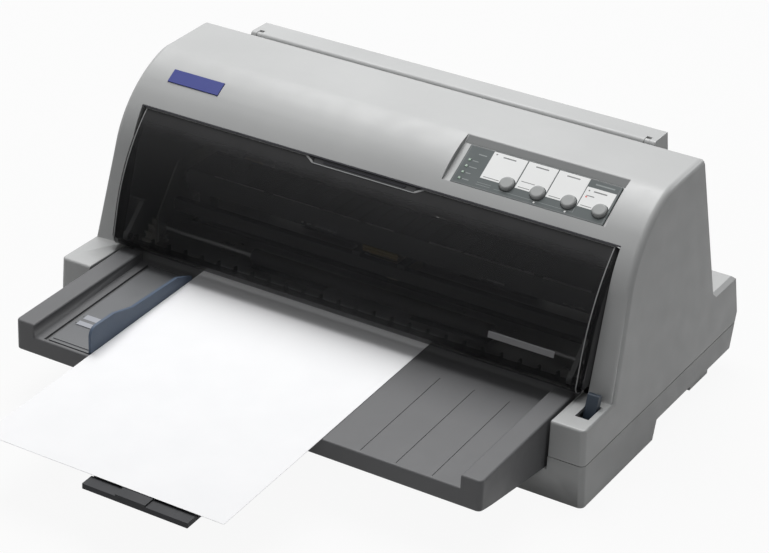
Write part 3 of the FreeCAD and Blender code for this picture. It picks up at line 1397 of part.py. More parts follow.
def sockets():
    outer = "socket_plate_y + socket_plate_wall"
    plate = Piece("socket_plate")
    plate.add("Y", "socket_plate_y", outer,
              box("socket_plate_left", "socket_plate_right", "floor_inside", "socket_plate_top"))
    for name in ("inlet", "rocker", "port", "usb"):
        plate.cut("Y", "socket_plate_y - over", f"{outer} + over",
                  around(f"{name}_x", "socket_z", f"{name}_width / 2 + pin_gap", f"{name}_height / 2 + pin_gap"))
    for label, name, proud in (("power_inlet", "inlet", "board_thick"), ("parallel_port", "port", "port_proud"),
                               ("usb_port", "usb", "board_thick")):
        socket = Piece(label)
        half_w, half_h = f"{name}_width / 2", f"{name}_height / 2"
        socket.add("Y", f"socket_plate_y - {name}_depth", f"{outer} + {proud}",
                   around(f"{name}_x", "socket_z", half_w, half_h))
        socket.cut("Y", f"socket_plate_y - {name}_depth / 2", f"{outer} + {proud} + over",
                   around(f"{name}_x", "socket_z", f"{half_w} - board_thick", f"{half_h} - board_thick"))
        socket.add("Y", f"socket_plate_y - {name}_depth / 2 - over", outer,
                   around(f"{name}_x", "socket_z", f"{half_w} / 2", f"{half_h} / 3"))
    frame = Piece("rocker_frame")
    half_w, half_h = "rocker_width / 2", "rocker_height / 2"
    frame.add("Y", "socket_plate_y - rocker_depth", f"{outer} + board_thick",
              around("rocker_x", "socket_z", half_w, half_h))
    frame.cut("Y", "socket_plate_y - rocker_depth + board_thick", f"{outer} + board_thick + over",
              around("rocker_x", "socket_z", f"{half_w} - board_thick", f"{half_h} - board_thick"))
    pin_half = f"{half_w} - board_thick / 2"
    frame.cut("X", f"rocker_x - ({pin_half})", f"rocker_x + {pin_half}",
              ring("socket_plate_y - rocker_paddle", "socket_z", "rocker_pin_radius + pin_gap"))
    rocker = Piece("power_rocker", y="socket_plate_y - rocker_paddle", z="socket_z", tilt="-rocker_swing")
    inner = f"{half_w} - board_thick - gap"
    rocker.add("X", f"rocker_x - ({inner})", f"rocker_x + {inner}",
               box("-rocker_paddle", "rocker_paddle * 2", "-rocker_paddle_half", "rocker_paddle_half"))
    rocker.add("X", f"rocker_x - ({pin_half} - gap / 2)", f"rocker_x + {pin_half} - gap / 2",
               ring("0", "0", "rocker_pin_radius"))


BUILDERS = (upper_case, lower_case, feet, front_tray, edge_guide, sheet_support, paper_sheet, front_cover,
            badge_plate, control_panel, release_lever, rear_cover, side_frames, rollers,
            paper_guides, gears, carriage, belt_drive, ribbon, sockets)
for build in BUILDERS:
    build()
electronics(chassis())
doc.recompute()

os.makedirs("parts", exist_ok=True)
faults = [o.Name for o in doc.Objects if "Invalid" in o.State or "Error" in o.State]
for piece in PIECES:
    shape = piece.body.Shape
    if shape.isNull() or not shape.isValid() or not shape.Solids:
        faults.append(piece.body.Label)
if faults:
    raise SystemExit("not built: " + ", ".join(faults))
for piece in PIECES:
    piece.body.Shape.exportStep(f"parts/{piece.body.Label}.step")
print(len(PIECES), "sub-parts written")
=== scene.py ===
"""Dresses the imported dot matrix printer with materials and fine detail, and sets the view."""
import math
import bmesh
import bpy
from mathutils import Matrix, Vector


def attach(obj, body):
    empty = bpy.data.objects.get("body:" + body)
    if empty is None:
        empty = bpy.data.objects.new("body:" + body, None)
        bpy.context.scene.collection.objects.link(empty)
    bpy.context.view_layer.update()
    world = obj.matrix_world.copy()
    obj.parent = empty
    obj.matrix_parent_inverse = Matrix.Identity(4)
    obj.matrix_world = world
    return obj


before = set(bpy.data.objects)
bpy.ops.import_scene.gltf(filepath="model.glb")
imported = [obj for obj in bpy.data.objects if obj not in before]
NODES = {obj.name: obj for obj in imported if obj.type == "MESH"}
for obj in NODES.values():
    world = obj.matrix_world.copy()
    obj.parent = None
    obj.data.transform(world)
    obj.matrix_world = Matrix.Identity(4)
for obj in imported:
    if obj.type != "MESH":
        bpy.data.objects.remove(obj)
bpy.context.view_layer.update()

# The part's own y counts from the front of its side blocks, which lies here in the frame
FRONT_Y = -19.35


def at(x, y, z):
    """A point given in millimetres, with y from the front of the side blocks, in metres."""
    return Vector((x, y + FRONT_Y, z)) / 1000


# Materials
# The sockets of a Mix node that take and give colours, and the range that noise mostly fills
MIX_FACTOR, MIX_FIRST, MIX_SECOND, MIX_RESULT = 0, 6, 7, 2
NOISE_LOW, NOISE_HIGH = 0.3, 0.7


def link(tree, out, into):
    tree.links.new(out, into)


def blank(name):
    """A new material, its tree, its shader and the place in the frame that is being shaded."""
    made = bpy.data.materials.new(name)
    made.use_nodes = True
    tree = made.node_tree
    shader = tree.nodes["Principled BSDF"]
    place = tree.nodes.new("ShaderNodeTexCoord")
    return made, tree, shader, place.outputs["Object"]


def noise(tree, spot, scale, detail=3.0, rough=0.5):
    n = tree.nodes.new("ShaderNodeTexNoise")
    n.inputs["Scale"].default_value = scale
    n.inputs["Detail"].default_value = detail
    n.inputs["Roughness"].default_value = rough
    link(tree, spot, n.inputs["Vector"])
    return n.outputs["Fac"]


def span(tree, value, low, high, from_low=NOISE_LOW, from_high=NOISE_HIGH):
    n = tree.nodes.new("ShaderNodeMapRange")
    n.inputs["From Min"].default_value = from_low
    n.inputs["From Max"].default_value = from_high
    n.inputs["To Min"].default_value = low
    n.inputs["To Max"].default_value = high
    link(tree, value, n.inputs["Value"])
    return n.outputs["Result"]


def blend_colours(tree, factor, first, second):
    n = tree.nodes.new("ShaderNodeMix")
    n.data_type = "RGBA"
    for socket, colour in ((n.inputs[MIX_FIRST], first), (n.inputs[MIX_SECOND], second)):
        if isinstance(colour, tuple):
            socket.default_value = (*colour, 1)
        else:
            link(tree, colour, socket)
    link(tree, factor, n.inputs[MIX_FACTOR])
    return n.outputs[MIX_RESULT]


def relief(tree, shader, height, strength, distance):
    n = tree.nodes.new("ShaderNodeBump")
    n.inputs["Strength"].default_value = strength
    n.inputs["Distance"].default_value = distance
    link(tree, height, n.inputs["Height"])
    link(tree, n.outputs["Normal"], shader.inputs["Normal"])


def shade(colour, share):
    return tuple(min(1.0, c * share) for c in colour)


def plastic(name, colour, rough=0.5, grain=1500, depth=0.12, vary=0.05, coat=0.0, metal=0.0, shine=0.5):
    """Moulded plastic: faint cloudy colour, uneven gloss and a fine spark-eroded grain."""
    made, tree, shader, spot = blank(name)
    cloud = span(tree, noise(tree, spot, scale=9, detail=4), 0, 1)
    tint = blend_colours(tree, cloud, shade(colour, 1 - vary), shade(colour, 1 + vary))
    link(tree, tint, shader.inputs["Base Color"])
    gloss = span(tree, noise(tree, spot, scale=60), rough - 0.05, rough + 0.06)
    link(tree, gloss, shader.inputs["Roughness"])
    relief(tree, shader, noise(tree, spot, grain, detail=2, rough=0.6), depth, 0.0004)
    shader.inputs["Metallic"].default_value = metal
    shader.inputs["Coat Weight"].default_value = coat
    shader.inputs["Specular IOR Level"].default_value = shine
    return made


def metal(name, colour, rough=0.3, streak=(3, 900, 900), depth=0.06):
    """Rolled or drawn metal, streaked along its run."""
    made, tree, shader, spot = blank(name)
    stretch = tree.nodes.new("ShaderNodeMapping")
    stretch.inputs["Scale"].default_value = streak
    link(tree, spot, stretch.inputs["Vector"])
    lines = noise(tree, stretch.outputs["Vector"], scale=1.0, detail=4)
    tint = blend_colours(tree, span(tree, lines, 0, 1), shade(colour, 0.85), shade(colour, 1.1))
    link(tree, tint, shader.inputs["Base Color"])
    link(tree, span(tree, lines, rough - 0.08, rough + 0.1), shader.inputs["Roughness"])
    relief(tree, shader, lines, depth, 0.0002)
    shader.inputs["Metallic"].default_value = 1.0
    return made


def along(tree, spot, axis, low, high):
    """Grows from 0 at low to 1 at high, along one axis of the frame."""
    n = tree.nodes.new("ShaderNodeSeparateXYZ")
    link(tree, spot, n.inputs[0])
    return span(tree, n.outputs[axis], 0, 1, low, high)


# Where the edge guide's base plate ends and its fence begins
FENCE_X = -0.1398
FENCE_SOFT = 0.0004


def guide_plastic():
    """The edge guide: a blue-grey fence and a greyer base plate."""
    made, tree, shader, spot = blank("guide")
    fence = along(tree, spot, 0, FENCE_X - FENCE_SOFT, FENCE_X + FENCE_SOFT)
    cloud = span(tree, noise(tree, spot, scale=14, detail=4), 0, 1)
    base = blend_colours(tree, cloud, (0.130, 0.133, 0.138), (0.150, 0.154, 0.159))
    blue = blend_colours(tree, cloud, (0.074, 0.100, 0.145), (0.088, 0.118, 0.168))
    link(tree, blend_colours(tree, fence, base, blue), shader.inputs["Base Color"])
    link(tree, span(tree, noise(tree, spot, scale=70), 0.38, 0.48), shader.inputs["Roughness"])
    relief(tree, shader, noise(tree, spot, scale=1500, detail=2), 0.08, 0.0003)
    shader.inputs["Specular IOR Level"].default_value = 0.25
    return made


# How much light one face of the cover stops, the heights over which a painted sheen lightens its colour, and
# the heights between which it turns solid
SMOKE = 0.50
SHEEN_FROM, SHEEN_TO = 0.125, 0.176
SOLID_FROM, SOLID_TO = 0.160, 0.168


def smoked_plastic():
    """Dark see-through plastic, polished outside, less clear towards its upper rim, where a painted sheen
    lightens its colour.
    """
    made, tree, shader, spot = blank("smoked")
    dust = span(tree, noise(tree, spot, scale=40, detail=6), 0, 1)
    deep = blend_colours(tree, dust, (0.013, 0.013, 0.0135), (0.017, 0.017, 0.018))
    # painted sheen: a lighter colour towards the top stands in for the reflection of the bright surroundings
    # on the cover's upper part
    painted_sheen = blend_colours(tree, dust, (0.038, 0.038, 0.0385), (0.046, 0.046, 0.047))
    height = along(tree, spot, 2, SHEEN_FROM, SHEEN_TO)
    link(tree, blend_colours(tree, height, deep, painted_sheen), shader.inputs["Base Color"])
    link(tree, span(tree, noise(tree, spot, scale=25, detail=5), 0.16, 0.24), shader.inputs["Roughness"])
    relief(tree, shader, noise(tree, spot, scale=30, detail=2), 0.02, 0.001)
    solid = along(tree, spot, 2, SOLID_FROM, SOLID_TO)
    link(tree, span(tree, solid, SMOKE, 1, 0, 1), shader.inputs["Alpha"])
    shader.inputs["IOR"].default_value = 1.5
    shader.inputs["Specular IOR Level"].default_value = 0.1
    return made


def board_green(name, colour):
    """Lacquered circuit board with faint copper tracks under the lacquer."""
    made, tree, shader, spot = blank(name)
    cells = tree.nodes.new("ShaderNodeTexVoronoi")
    cells.distance = "MANHATTAN"
    cells.inputs["Scale"].default_value = 260
    link(tree, spot, cells.inputs["Vector"])
    tracks = span(tree, cells.outputs["Distance"], 0, 1, 0.30, 0.34)
    link(tree, blend_colours(tree, tracks, colour, shade(colour, 1.7)), shader.inputs["Base Color"])
    link(tree, span(tree, noise(tree, spot, scale=80), 0.22, 0.34), shader.inputs["Roughness"])
    relief(tree, shader, tracks, 0.2, 0.0001)
    return made


def paper_white():
    """Matt paper with a fine fibre."""
    made, tree, shader, spot = blank("paper")
    fibre = noise(tree, spot, scale=2200, detail=5, rough=0.7)
    cloud = span(tree, noise(tree, spot, scale=30, detail=5), 0, 1)
    tint = blend_colours(tree, cloud, (0.80, 0.803, 0.812), (0.82, 0.822, 0.83))
    link(tree, tint, shader.inputs["Base Color"])
    link(tree, span(tree, fibre, 0.75, 0.9), shader.inputs["Roughness"])
    relief(tree, shader, fibre, 0.15, 0.0001)
    return made


# Half the length of a roller's rubber sleeve, and the length over which it turns to steel
SLEEVE = 0.1100
SLEEVE_EDGE = 0.0001


def sleeve_rubber():
    """A roller: ground steel where the shaft shows, rubber on the sleeves."""
    made, tree, shader, spot = blank("roller")
    place = tree.nodes.new("ShaderNodeSeparateXYZ")
    link(tree, spot, place.inputs[0])
    from_middle = tree.nodes.new("ShaderNodeMath")
    from_middle.operation = "ABSOLUTE"
    link(tree, place.outputs[0], from_middle.inputs[0])
    steel = span(tree, from_middle.outputs[0], 0, 1, SLEEVE, SLEEVE + SLEEVE_EDGE)
    grain = noise(tree, spot, scale=500)
    tint = blend_colours(tree, steel, (0.035, 0.035, 0.037), (0.45, 0.45, 0.45))
    link(tree, tint, shader.inputs["Base Color"])
    link(tree, steel, shader.inputs["Metallic"])
    link(tree, span(tree, grain, 0.35, 0.6), shader.inputs["Roughness"])
    relief(tree, shader, grain, 0.1, 0.0002)
    return made


def seen_ray(tree, share):
    """The share where a ray of the camera, of a reflection or of clear plastic asks, else 0."""
    path = tree.nodes.new("ShaderNodeLightPath")
    total = path.outputs["Is Camera Ray"]
    for kind in ("Is Glossy Ray", "Is Transmission Ray"):
        n = tree.nodes.new("ShaderNodeMath")
        n.operation = "MAXIMUM"
        link(tree, total, n.inputs[0])
        link(tree, path.outputs[kind], n.inputs[1])
        total = n.outputs[0]
    return span(tree, total, 0, share, 0, 1)


# How much of the floor's look is plain white; its shadow shows in the rest
FLOOR_WHITE = 0.93
FLOOR_GREY = 0.42


def white_floor():
    """Plain white to the camera and in reflections, with the object's shadow left in it."""
    made, tree, shader, _ = blank("floor")
    shader.inputs["Base Color"].default_value = (FLOOR_GREY, FLOOR_GREY, FLOOR_GREY, 1)
    shader.inputs["Roughness"].default_value = 0.9
    glow = tree.nodes.new("ShaderNodeEmission")
    mix = tree.nodes.new("ShaderNodeMixShader")
    link(tree, seen_ray(tree, FLOOR_WHITE), mix.inputs[0])
    link(tree, shader.outputs[0], mix.inputs[1])
    link(tree, glow.outputs[0], mix.inputs[2])
    link(tree, mix.outputs[0], tree.nodes["Material Output"].inputs["Surface"])
    return made


CASE = (0.395, 0.40, 0.398)
MATERIALS = {
    "case": plastic("case", CASE, 0.46),
    # painted shade: the lower case wears the case colour made 8 % darker, for its sides that lie in shadow
    "base": plastic("base", shade(CASE, 0.92)),
    "tray": plastic("tray", (0.125, 0.126, 0.129), 0.46, shine=0.22),
    "guide": guide_plastic(),
    "smoked": smoked_plastic(),
    "stripe": plastic("stripe", (0.17, 0.17, 0.173), grain=800),
    "badge": plastic("badge", (0.050, 0.062, 0.235), 0.36, grain=900, depth=0.05, vary=0.04, shine=0.2),
    "panel": plastic("panel", (0.100, 0.113, 0.114), grain=1200, depth=0.06, vary=0.08, shine=0.12),
    "button": plastic("button", (0.30, 0.308, 0.305), 0.46, shine=0.2),
    "lamp": plastic("lamp", (0.05, 0.12, 0.065), 0.3, grain=300, depth=0.02, vary=0.1, coat=0.3),
    "lever": plastic("lever", (0.026, 0.038, 0.055), 0.42, shine=0.3),
    "support": plastic("support", (0.036, 0.037, 0.040), shine=0.15),
    "nylon": plastic("nylon", (0.62, 0.60, 0.52), 0.4),
    "paper": paper_white(),
    "rubber": plastic("rubber", (0.02, 0.02, 0.02), 0.8, grain=700, depth=0.3),
    "zinc": metal("zinc", (0.52, 0.52, 0.50), 0.34, streak=(40, 40, 40)),
    "ground": metal("ground", (0.72, 0.72, 0.72), 0.14),
    "brass": metal("brass", (0.62, 0.48, 0.20)),
    "roller": sleeve_rubber(),
    "platen": plastic("platen", (0.02, 0.02, 0.021), 0.55, grain=500, depth=0.2),
    "gear": plastic("gear", (0.66, 0.65, 0.58), 0.38),
    "motor": plastic("motor", (0.05, 0.05, 0.052), 0.35, grain=900, depth=0.1, vary=0.08, metal=0.6),
    "black": plastic("black", (0.016, 0.016, 0.017), 0.4),
    "carriage": plastic("carriage", (0.06, 0.06, 0.062), 0.45),
    "alloy": metal("alloy", (0.42, 0.37, 0.28), 0.42, streak=(60, 60, 400), depth=0.1),
    "ink": plastic("ink", (0.012, 0.012, 0.016), 0.85, grain=2500, depth=0.4),
    "board": board_green("board", (0.012, 0.085, 0.035)),
    "nickel": metal("nickel", (0.60, 0.59, 0.56), 0.25, streak=(30, 30, 30)),
    "legend": plastic("legend", (0.73, 0.735, 0.73), grain=1200, depth=0.04, vary=0.02, shine=0.15),
    "print": plastic("print", (0.12, 0.125, 0.125), grain=1200, depth=0.04, vary=0.1),
    "red": plastic("red", (0.5, 0.06, 0.04), 0.4, grain=900, depth=0.04, vary=0.1),
    "chip": plastic("chip", (0.02, 0.02, 0.022), grain=1400, depth=0.2),
    # pale grey for the lines painted as highlights along the front cover's edges
    "painted_highlight": plastic("painted_highlight", (0.27, 0.272, 0.273), 0.35, grain=900, depth=0.04, shine=0.3),
    "faint": plastic("faint", (0.24, 0.26, 0.26), grain=900, depth=0.04, shine=0.15),
    "glint": plastic("glint", (0.26, 0.265, 0.27), 0.25, grain=900, depth=0.04),
    "pull": plastic("pull", (0.022, 0.022, 0.023), 0.4, grain=900, depth=0.04),
    "thumb": plastic("thumb", (0.31, 0.32, 0.35), 0.3, grain=900, depth=0.05),
    "cartridge": plastic("cartridge", (0.075, 0.078, 0.080)),
    "rib": plastic("rib", (0.55, 0.55, 0.54), 0.3, metal=1.0),
    "fin": plastic("fin", (0.36, 0.27, 0.12), 0.35, metal=1.0),
    "shadow": plastic("shadow", (0.215, 0.22, 0.22), shine=0.2),
    "copper": metal("copper", (0.65, 0.33, 0.17), 0.32),
}

WEARS = {
    "case": ("upper_case", "rear_cover"),
    "base": ("lower_case",),
    "tray": ("front_tray",),
    "guide": ("edge_guide",),
    "smoked": ("front_cover",),
    "stripe": ("cover_label",),
    "badge": ("badge_plate",),
    "panel": ("control_panel",),
    "button": ("button_1", "button_2", "button_3", "button_4"),
    "lamp": ("panel_lamps",),
    "lever": ("release_lever",),
    "support": ("sheet_support",),
    "nylon": ("lever_bracket", "idler_pulley"),
    "paper": ("paper_sheet",),
    "rubber": ("foot_front_left", "foot_front_right", "foot_rear_left", "foot_rear_right", "timing_belt"),
    "zinc": ("side_frame_left", "side_frame_right", "chassis_plate", "motor_bracket", "tension_bracket",
             "socket_plate", "front_paper_guide", "rear_paper_guide"),
    "ground": ("carriage_rod",),
    "brass": ("motor_pinion", "drive_pulley"),
    "roller": ("front_feed_roller", "rear_feed_roller", "front_pinch_roller", "rear_pinch_roller"),
    "platen": ("platen_bar",),
    "gear": ("front_roller_gear", "rear_roller_gear", "idler_gear"),
    "motor": ("feed_motor", "belt_motor"),
    "black": ("power_inlet", "rocker_frame", "parallel_port", "power_rocker", "ribbon_knob"),
    "cartridge": ("ribbon_cartridge",),
    "carriage": ("carriage_block", "front_rail"),
    "alloy": ("print_head",),
    "ink": ("ribbon_band",),
    "board": ("main_board", "panel_board", "power_supply"),
    "nickel": ("usb_port",),
}
SLOTS = {member: slot_name for slot_name, members in WEARS.items() for member in members}
for name, node in NODES.items():
    node.data.materials.clear()
    node.data.materials.append(MATERIALS[SLOTS[name]])


# Edges
# Lengths here are in millimetres and angles in degrees
WELD_GAP = 0.005
SHARP = 30
SOFT_ANGLE = 32
FLAT_ANGLE = 0.4
WIDEST = 5.0
ROUND_STEPS = 4
# Steps per metre to which the ends of an edge are told apart
GRID = 20000


def smooth(node):
    """Smooth faces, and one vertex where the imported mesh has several."""
    if "custom_normal" in node.data.attributes:
        node.data.attributes.remove(node.data.attributes["custom_normal"])
    for face in node.data.polygons:
        face.use_smooth = True
    weld = node.modifiers.new("weld", "WELD")
    weld.merge_threshold = WELD_GAP / 1000


def soften(names, width, steps=3):
    """Rounds the sharp edges of CAD nodes a little, as moulds and presses do."""
    for name in names:
        node = NODES[name]
        smooth(node)
        bevel = node.modifiers.new("edges", "BEVEL")
        bevel.width = width / 1000
        bevel.segments = steps
        bevel.limit_method = "ANGLE"
        bevel.angle_limit = math.radians(SOFT_ANGLE)
        bevel.harden_normals = True
        bevel.use_clamp_overlap = True


def local(node, index):
    """A vertex in millimetres, with y from the front of the side blocks."""
    spot = node.matrix_world @ node.data.vertices[index].co * 1000
    return Vector((spot.x, spot.y - FRONT_Y, spot.z))


def ends(places):
    """A key for the edge between two places, whichever comes first."""
    return frozenset(tuple(round(c * GRID) for c in p) for p in places)


def edge_angles(node):
    """The signed angle in degrees at each edge, by the places of its ends."""
    shape = bmesh.new()
    shape.from_mesh(node.data)
    bmesh.ops.remove_doubles(shape, verts=shape.verts, dist=WELD_GAP / 1000)
    angles = {}
    for edge in shape.edges:
        if len(edge.link_faces) == 2:
            angles[ends([v.co for v in edge.verts])] = math.degrees(edge.calc_face_angle_signed(0))
    shape.free()
    return angles


def round_off(name, radius):
    """Rounds each sharp edge by the radius that radius(first, second, angle) gives."""
    node = NODES[name]
    smooth(node)
    angles = edge_angles(node)
    weights = node.data.attributes.new("bevel_weight_edge", "FLOAT", "EDGE")
    creases = node.data.attributes.get("sharp_edge")
    if creases is None:
        creases = node.data.attributes.new("sharp_edge", "BOOLEAN", "EDGE")
    for edge in node.data.edges:
        angle = angles.get(ends([node.data.vertices[i].co for i in edge.vertices]), 0)
        if abs(angle) > SHARP:
            first, second = (local(node, i) for i in edge.vertices)
            size = radius(first, second, angle)
            weights.data[edge.index].value = size / WIDEST
            creases.data[edge.index].value = size == 0
    plain = node.modifiers.new("plain", "DECIMATE")
    plain.decimate_type = "DISSOLVE"
    plain.angle_limit = math.radians(FLAT_ANGLE)
    bevel = node.modifiers.new("edges", "BEVEL")
    bevel.width = WIDEST / 1000
    bevel.segments = ROUND_STEPS
    bevel.limit_method = "WEIGHT"
    bevel.use_clamp_overlap = False
    even = node.modifiers.new("even", "WEIGHTED_NORMAL")
    even.keep_sharp = True


def both(first, second, test):
    return test(first) and test(second)


# The casing: its half width at the floor, how far its sides lean in per millimetre of height, the
# chamfer round its ends, and the side blocks
NEAR = 0.1
HALF_WIDTH = 240
LEAN = 0.0502
CHAMFER = 3
CHAMFER_ANGLES = (35, 60)
LEDGE_Y, LEDGE_Z = 200, 83
OUTER_X = 236
BLOCK_INNER = 208.5
BLOCK_TOP = 65.6
BLOCK_BACK = 50
BLOCK_EDGE_Y, BLOCK_EDGE_Z = 51, 60
WINDOW_FOOT_Y = 46.9


def on_block_top(p):
    return abs(p.z - BLOCK_TOP) < NEAR


def on_block_rim(p):
    return on_block_top(p) and -NEAR < p.y < BLOCK_BACK + NEAR and (p.y < NEAR or abs(p.x) > OUTER_X)


def on_inner_side(p):
    return abs(abs(p.x) - BLOCK_INNER) < NEAR


def case_radius(first, second, angle):
    """Large at the corners of the side blocks and round the ends, small elsewhere."""
    if both(first, second, lambda p: p.y < NEAR and abs(p.x) > OUTER_X):
        return 4.5
    if both(first, second, on_block_rim):
        return 2.6
    if both(first, second, lambda p: on_block_top(p) and abs(p.y - WINDOW_FOOT_Y) < 2 * NEAR):
        return 3.0
    if both(first, second, lambda p: on_inner_side(p) and p.y < BLOCK_EDGE_Y and p.z > BLOCK_EDGE_Z):
        return 0.8
    if both(first, second, lambda p: on_inner_side(p) and p.y < NEAR):
        return 0.8
    from_side = abs(first.x) - (HALF_WIDTH - LEAN * first.z)
    on_chamfer = min(abs(from_side), abs(from_side + CHAMFER)) < 3 * NEAR
    on_ledge = min(first.z, second.z) < LEDGE_Z and max(first.y, second.y) > LEDGE_Y
    if CHAMFER_ANGLES[0] < angle < CHAMFER_ANGLES[1] and on_chamfer and not on_ledge:
        return 1.9
    return 0.0


# The base: its front corners lie beyond this x, and an upright edge leans by less than this
BASE_OUTER_X = 238
UPRIGHT = 9


def base_radius(first, second, angle):
    """The two upright front corners."""
    upright = abs(first.x - second.x) < UPRIGHT
    front = both(first, second, lambda p: p.y < NEAR and abs(p.x) > BASE_OUTER_X)
    return 4.5 if upright and front else 0.0


# The tray: the top, outer side and inner side of its rails, and its front
RAIL_TOP = 62.9
RAIL_OUTER, RAIL_INNER = 201.9, 188.6
TRAY_FRONT = -98.3
RAIL_FRONT, RAIL_FRONT_X = -94.2, 187
SLOT_X, LIP_Z = 50, 45


def tray_radius(first, second, angle):
    """The rails' upper edges and ends, and the tray's front edge."""
    def on_rail_top(p):
        return p.z > RAIL_TOP and (abs(p.x) > RAIL_OUTER or abs(p.x) < RAIL_INNER or p.y < TRAY_FRONT)

    if both(first, second, on_rail_top):
        return 1.6
    if both(first, second, lambda p: p.y < RAIL_FRONT and abs(p.x) > RAIL_FRONT_X):
        return 1.4
    if both(first, second, lambda p: p.y < TRAY_FRONT and abs(p.x) > SLOT_X and p.z > LIP_Z):
        return 0.8
    return 0.0


# The control panel's plate: a point on its lower edge, its directions and its thickness
TILT = math.radians(30.2)
PLATE_START = (0, 89.8, 182.6)
PLATE_X = Vector((1, 0, 0))
PLATE_Y = Vector((0, math.cos(TILT), math.sin(TILT)))
PLATE_UP = Vector((0, -math.sin(TILT), math.cos(TILT)))
PLATE_TOP = 1.5
BUTTON_RIM = 4.2


def button_radius(first, second, angle):
    """The rim of the button's top, which stands 3 mm above the panel."""
    on_rim = both(first, second, lambda p: (p - Vector(PLATE_START)).dot(PLATE_UP) > BUTTON_RIM)
    return 1.9 if on_rim else 0.0


round_off("upper_case", case_radius)
round_off("lower_case", base_radius)
round_off("front_tray", tray_radius)
soften(("rear_cover", "front_cover"), width=0.7)
soften(("edge_guide", "release_lever", "sheet_support"), width=0.4)
for number in range(1, 5):
    round_off(f"button_{number}", button_radius)
soften(("badge_plate", "control_panel", "cover_label"), width=0.15, steps=2)
REST = [n for n in NODES if "edges" not in NODES[n].modifiers and n != "paper_sheet"]
soften(REST, width=0.2, steps=1)


# Extra pieces
DISC_SIDES = 28
# Outwards from the front cover, at its middle
OUTWARD = Vector((0, -0.62, 0.78))


def piece(name, build, wears, body="casing"):
    """A detail mesh made by build(shape), which rides on a body."""
    mesh = bpy.data.meshes.new(name)
    shape = bmesh.new()
    build(shape)
    bmesh.ops.recalc_face_normals(shape, faces=shape.faces)
    shape.to_mesh(mesh)
    shape.free()
    made = bpy.data.objects.new(name, mesh)
    bpy.context.scene.collection.objects.link(made)
    mesh.materials.append(MATERIALS[wears])
    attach(made, body)


def prism(shape, outline, drop):
    """A closed solid between an outline and the same outline moved by drop."""
    top = [shape.verts.new(p) for p in outline]
    low = [shape.verts.new(p + drop) for p in outline]
    shape.faces.new(top)
    shape.faces.new(list(reversed(low)))
    for i in range(len(top)):
        j = (i + 1) % len(top)
        shape.faces.new((top[j], top[i], low[i], low[j]))


def block(shape, low, high):
    """A box between two corners given in millimetres."""
    (x0, y0, z0), (x1, y1, z1) = low, high
    ring = [at(x0, y0, z1), at(x1, y0, z1), at(x1, y1, z1), at(x0, y1, z1)]
    prism(shape, ring, Vector((0, 0, (z0 - z1) / 1000)))


def disc(shape, centre, normal, radius, height):
    """A short cylinder that rises from its centre along its normal; lengths in millimetres."""
    turn = Vector((0, 0, 1)).rotation_difference(normal.normalized()).to_matrix()
    rise = turn @ Vector((0, 0, height / 1000))
    ring = []
    for i in range(DISC_SIDES):
        angle = 2 * math.pi * i / DISC_SIDES
        ring.append(centre + rise + turn @ Vector((math.cos(angle), math.sin(angle), 0)) * radius / 1000)
    prism(shape, ring, -rise)


def rod(shape, spots, thick, wide):
    """A thin square strip along some points."""
    for first, second in zip(spots, spots[1:]):
        run = (second - first).normalized()
        side = run.cross(OUTWARD).normalized() * wide / 2000
        rise = run.cross(side).normalized() * thick / 2000
        ring = [first + side + rise, first + side - rise, first - side - rise, first - side + rise]
        prism(shape, ring, second - first)


# Control panel: white patches, bars, lines and lamp windows, all in the plate's own plane
def on_plate(x, y, lift=0.0):
    return at(*PLATE_START) + (PLATE_X * x + PLATE_Y * y + PLATE_UP * (PLATE_TOP + lift)) / 1000


def flat(shape, x0, x1, y0, y1, lift, thick):
    """A thin bar from x0 to x1 and from y0 to y1 on the plate, with its face at lift."""
    ring = [on_plate(x0, y0, lift), on_plate(x1, y0, lift), on_plate(x1, y1, lift), on_plate(x0, y1, lift)]
    prism(shape, ring, -PLATE_UP * thick / 1000)


BUTTON_X = [109.3 + 26.1 * n for n in range(4)]
BUTTON_Y = 12.0
BUTTON_ROOM = 6.7
ROOM_STEPS = 32
SAME_SPOT = 0.02
PATCH_FOOT = 11.2
PATCH_LIFT, PATCH_THICK = 0.12, 0.1
PRINT_LIFT, PRINT_THICK = 0.16, 0.06
LINE_LIFT, LINE_THICK = 0.04, 0.03
# The left side, the right side and the top of each white patch
PATCHES = ((86.3, 115.2, 37.2), (116.2, 141.4, 37.2), (142.3, 168.3, 37.2), (169.0, 193.2, 30.2))


def patch(shape, x0, x1, y0, y1, hole_x):
    """A patch with room for the button that stands in its lower edge."""
    left, right = max(x0, hole_x - BUTTON_ROOM), min(x1, hole_x + BUTTON_ROOM)
    spots = [(x0, y1), (x0, y0), (left, y0)]
    for i in range(ROOM_STEPS + 1):
        angle = math.pi * (1 - i / ROOM_STEPS)
        x = min(max(hole_x + BUTTON_ROOM * math.cos(angle), x0), x1)
        spots.append((x, BUTTON_Y + BUTTON_ROOM * math.sin(angle)))
    spots += [(right, y0), (x1, y0), (x1, y1)]
    ring = [on_plate(*spots[0], PATCH_LIFT)]
    for before, spot in zip(spots, spots[1:]):
        if (Vector(spot) - Vector(before)).length > SAME_SPOT:
            ring.append(on_plate(*spot, PATCH_LIFT))
    prism(shape, ring, -PLATE_UP * PATCH_THICK / 1000)


def white_patches(shape):
    for (x0, x1, top), hole_x in zip(PATCHES, BUTTON_X):
        patch(shape, x0, x1, PATCH_FOOT, top, hole_x)


# Two more bars and two small squares on the patches
MORE_BARS = ((118.5, 130, 18.0, 18.6), (171.5, 178, 22.0, 22.8), (88.6, 89.8, 34.6, 35.8),
             (171.2, 172.4, 26.4, 27.6))
RED_MARK = (171.2, 172.6, 20.4, 21.8)


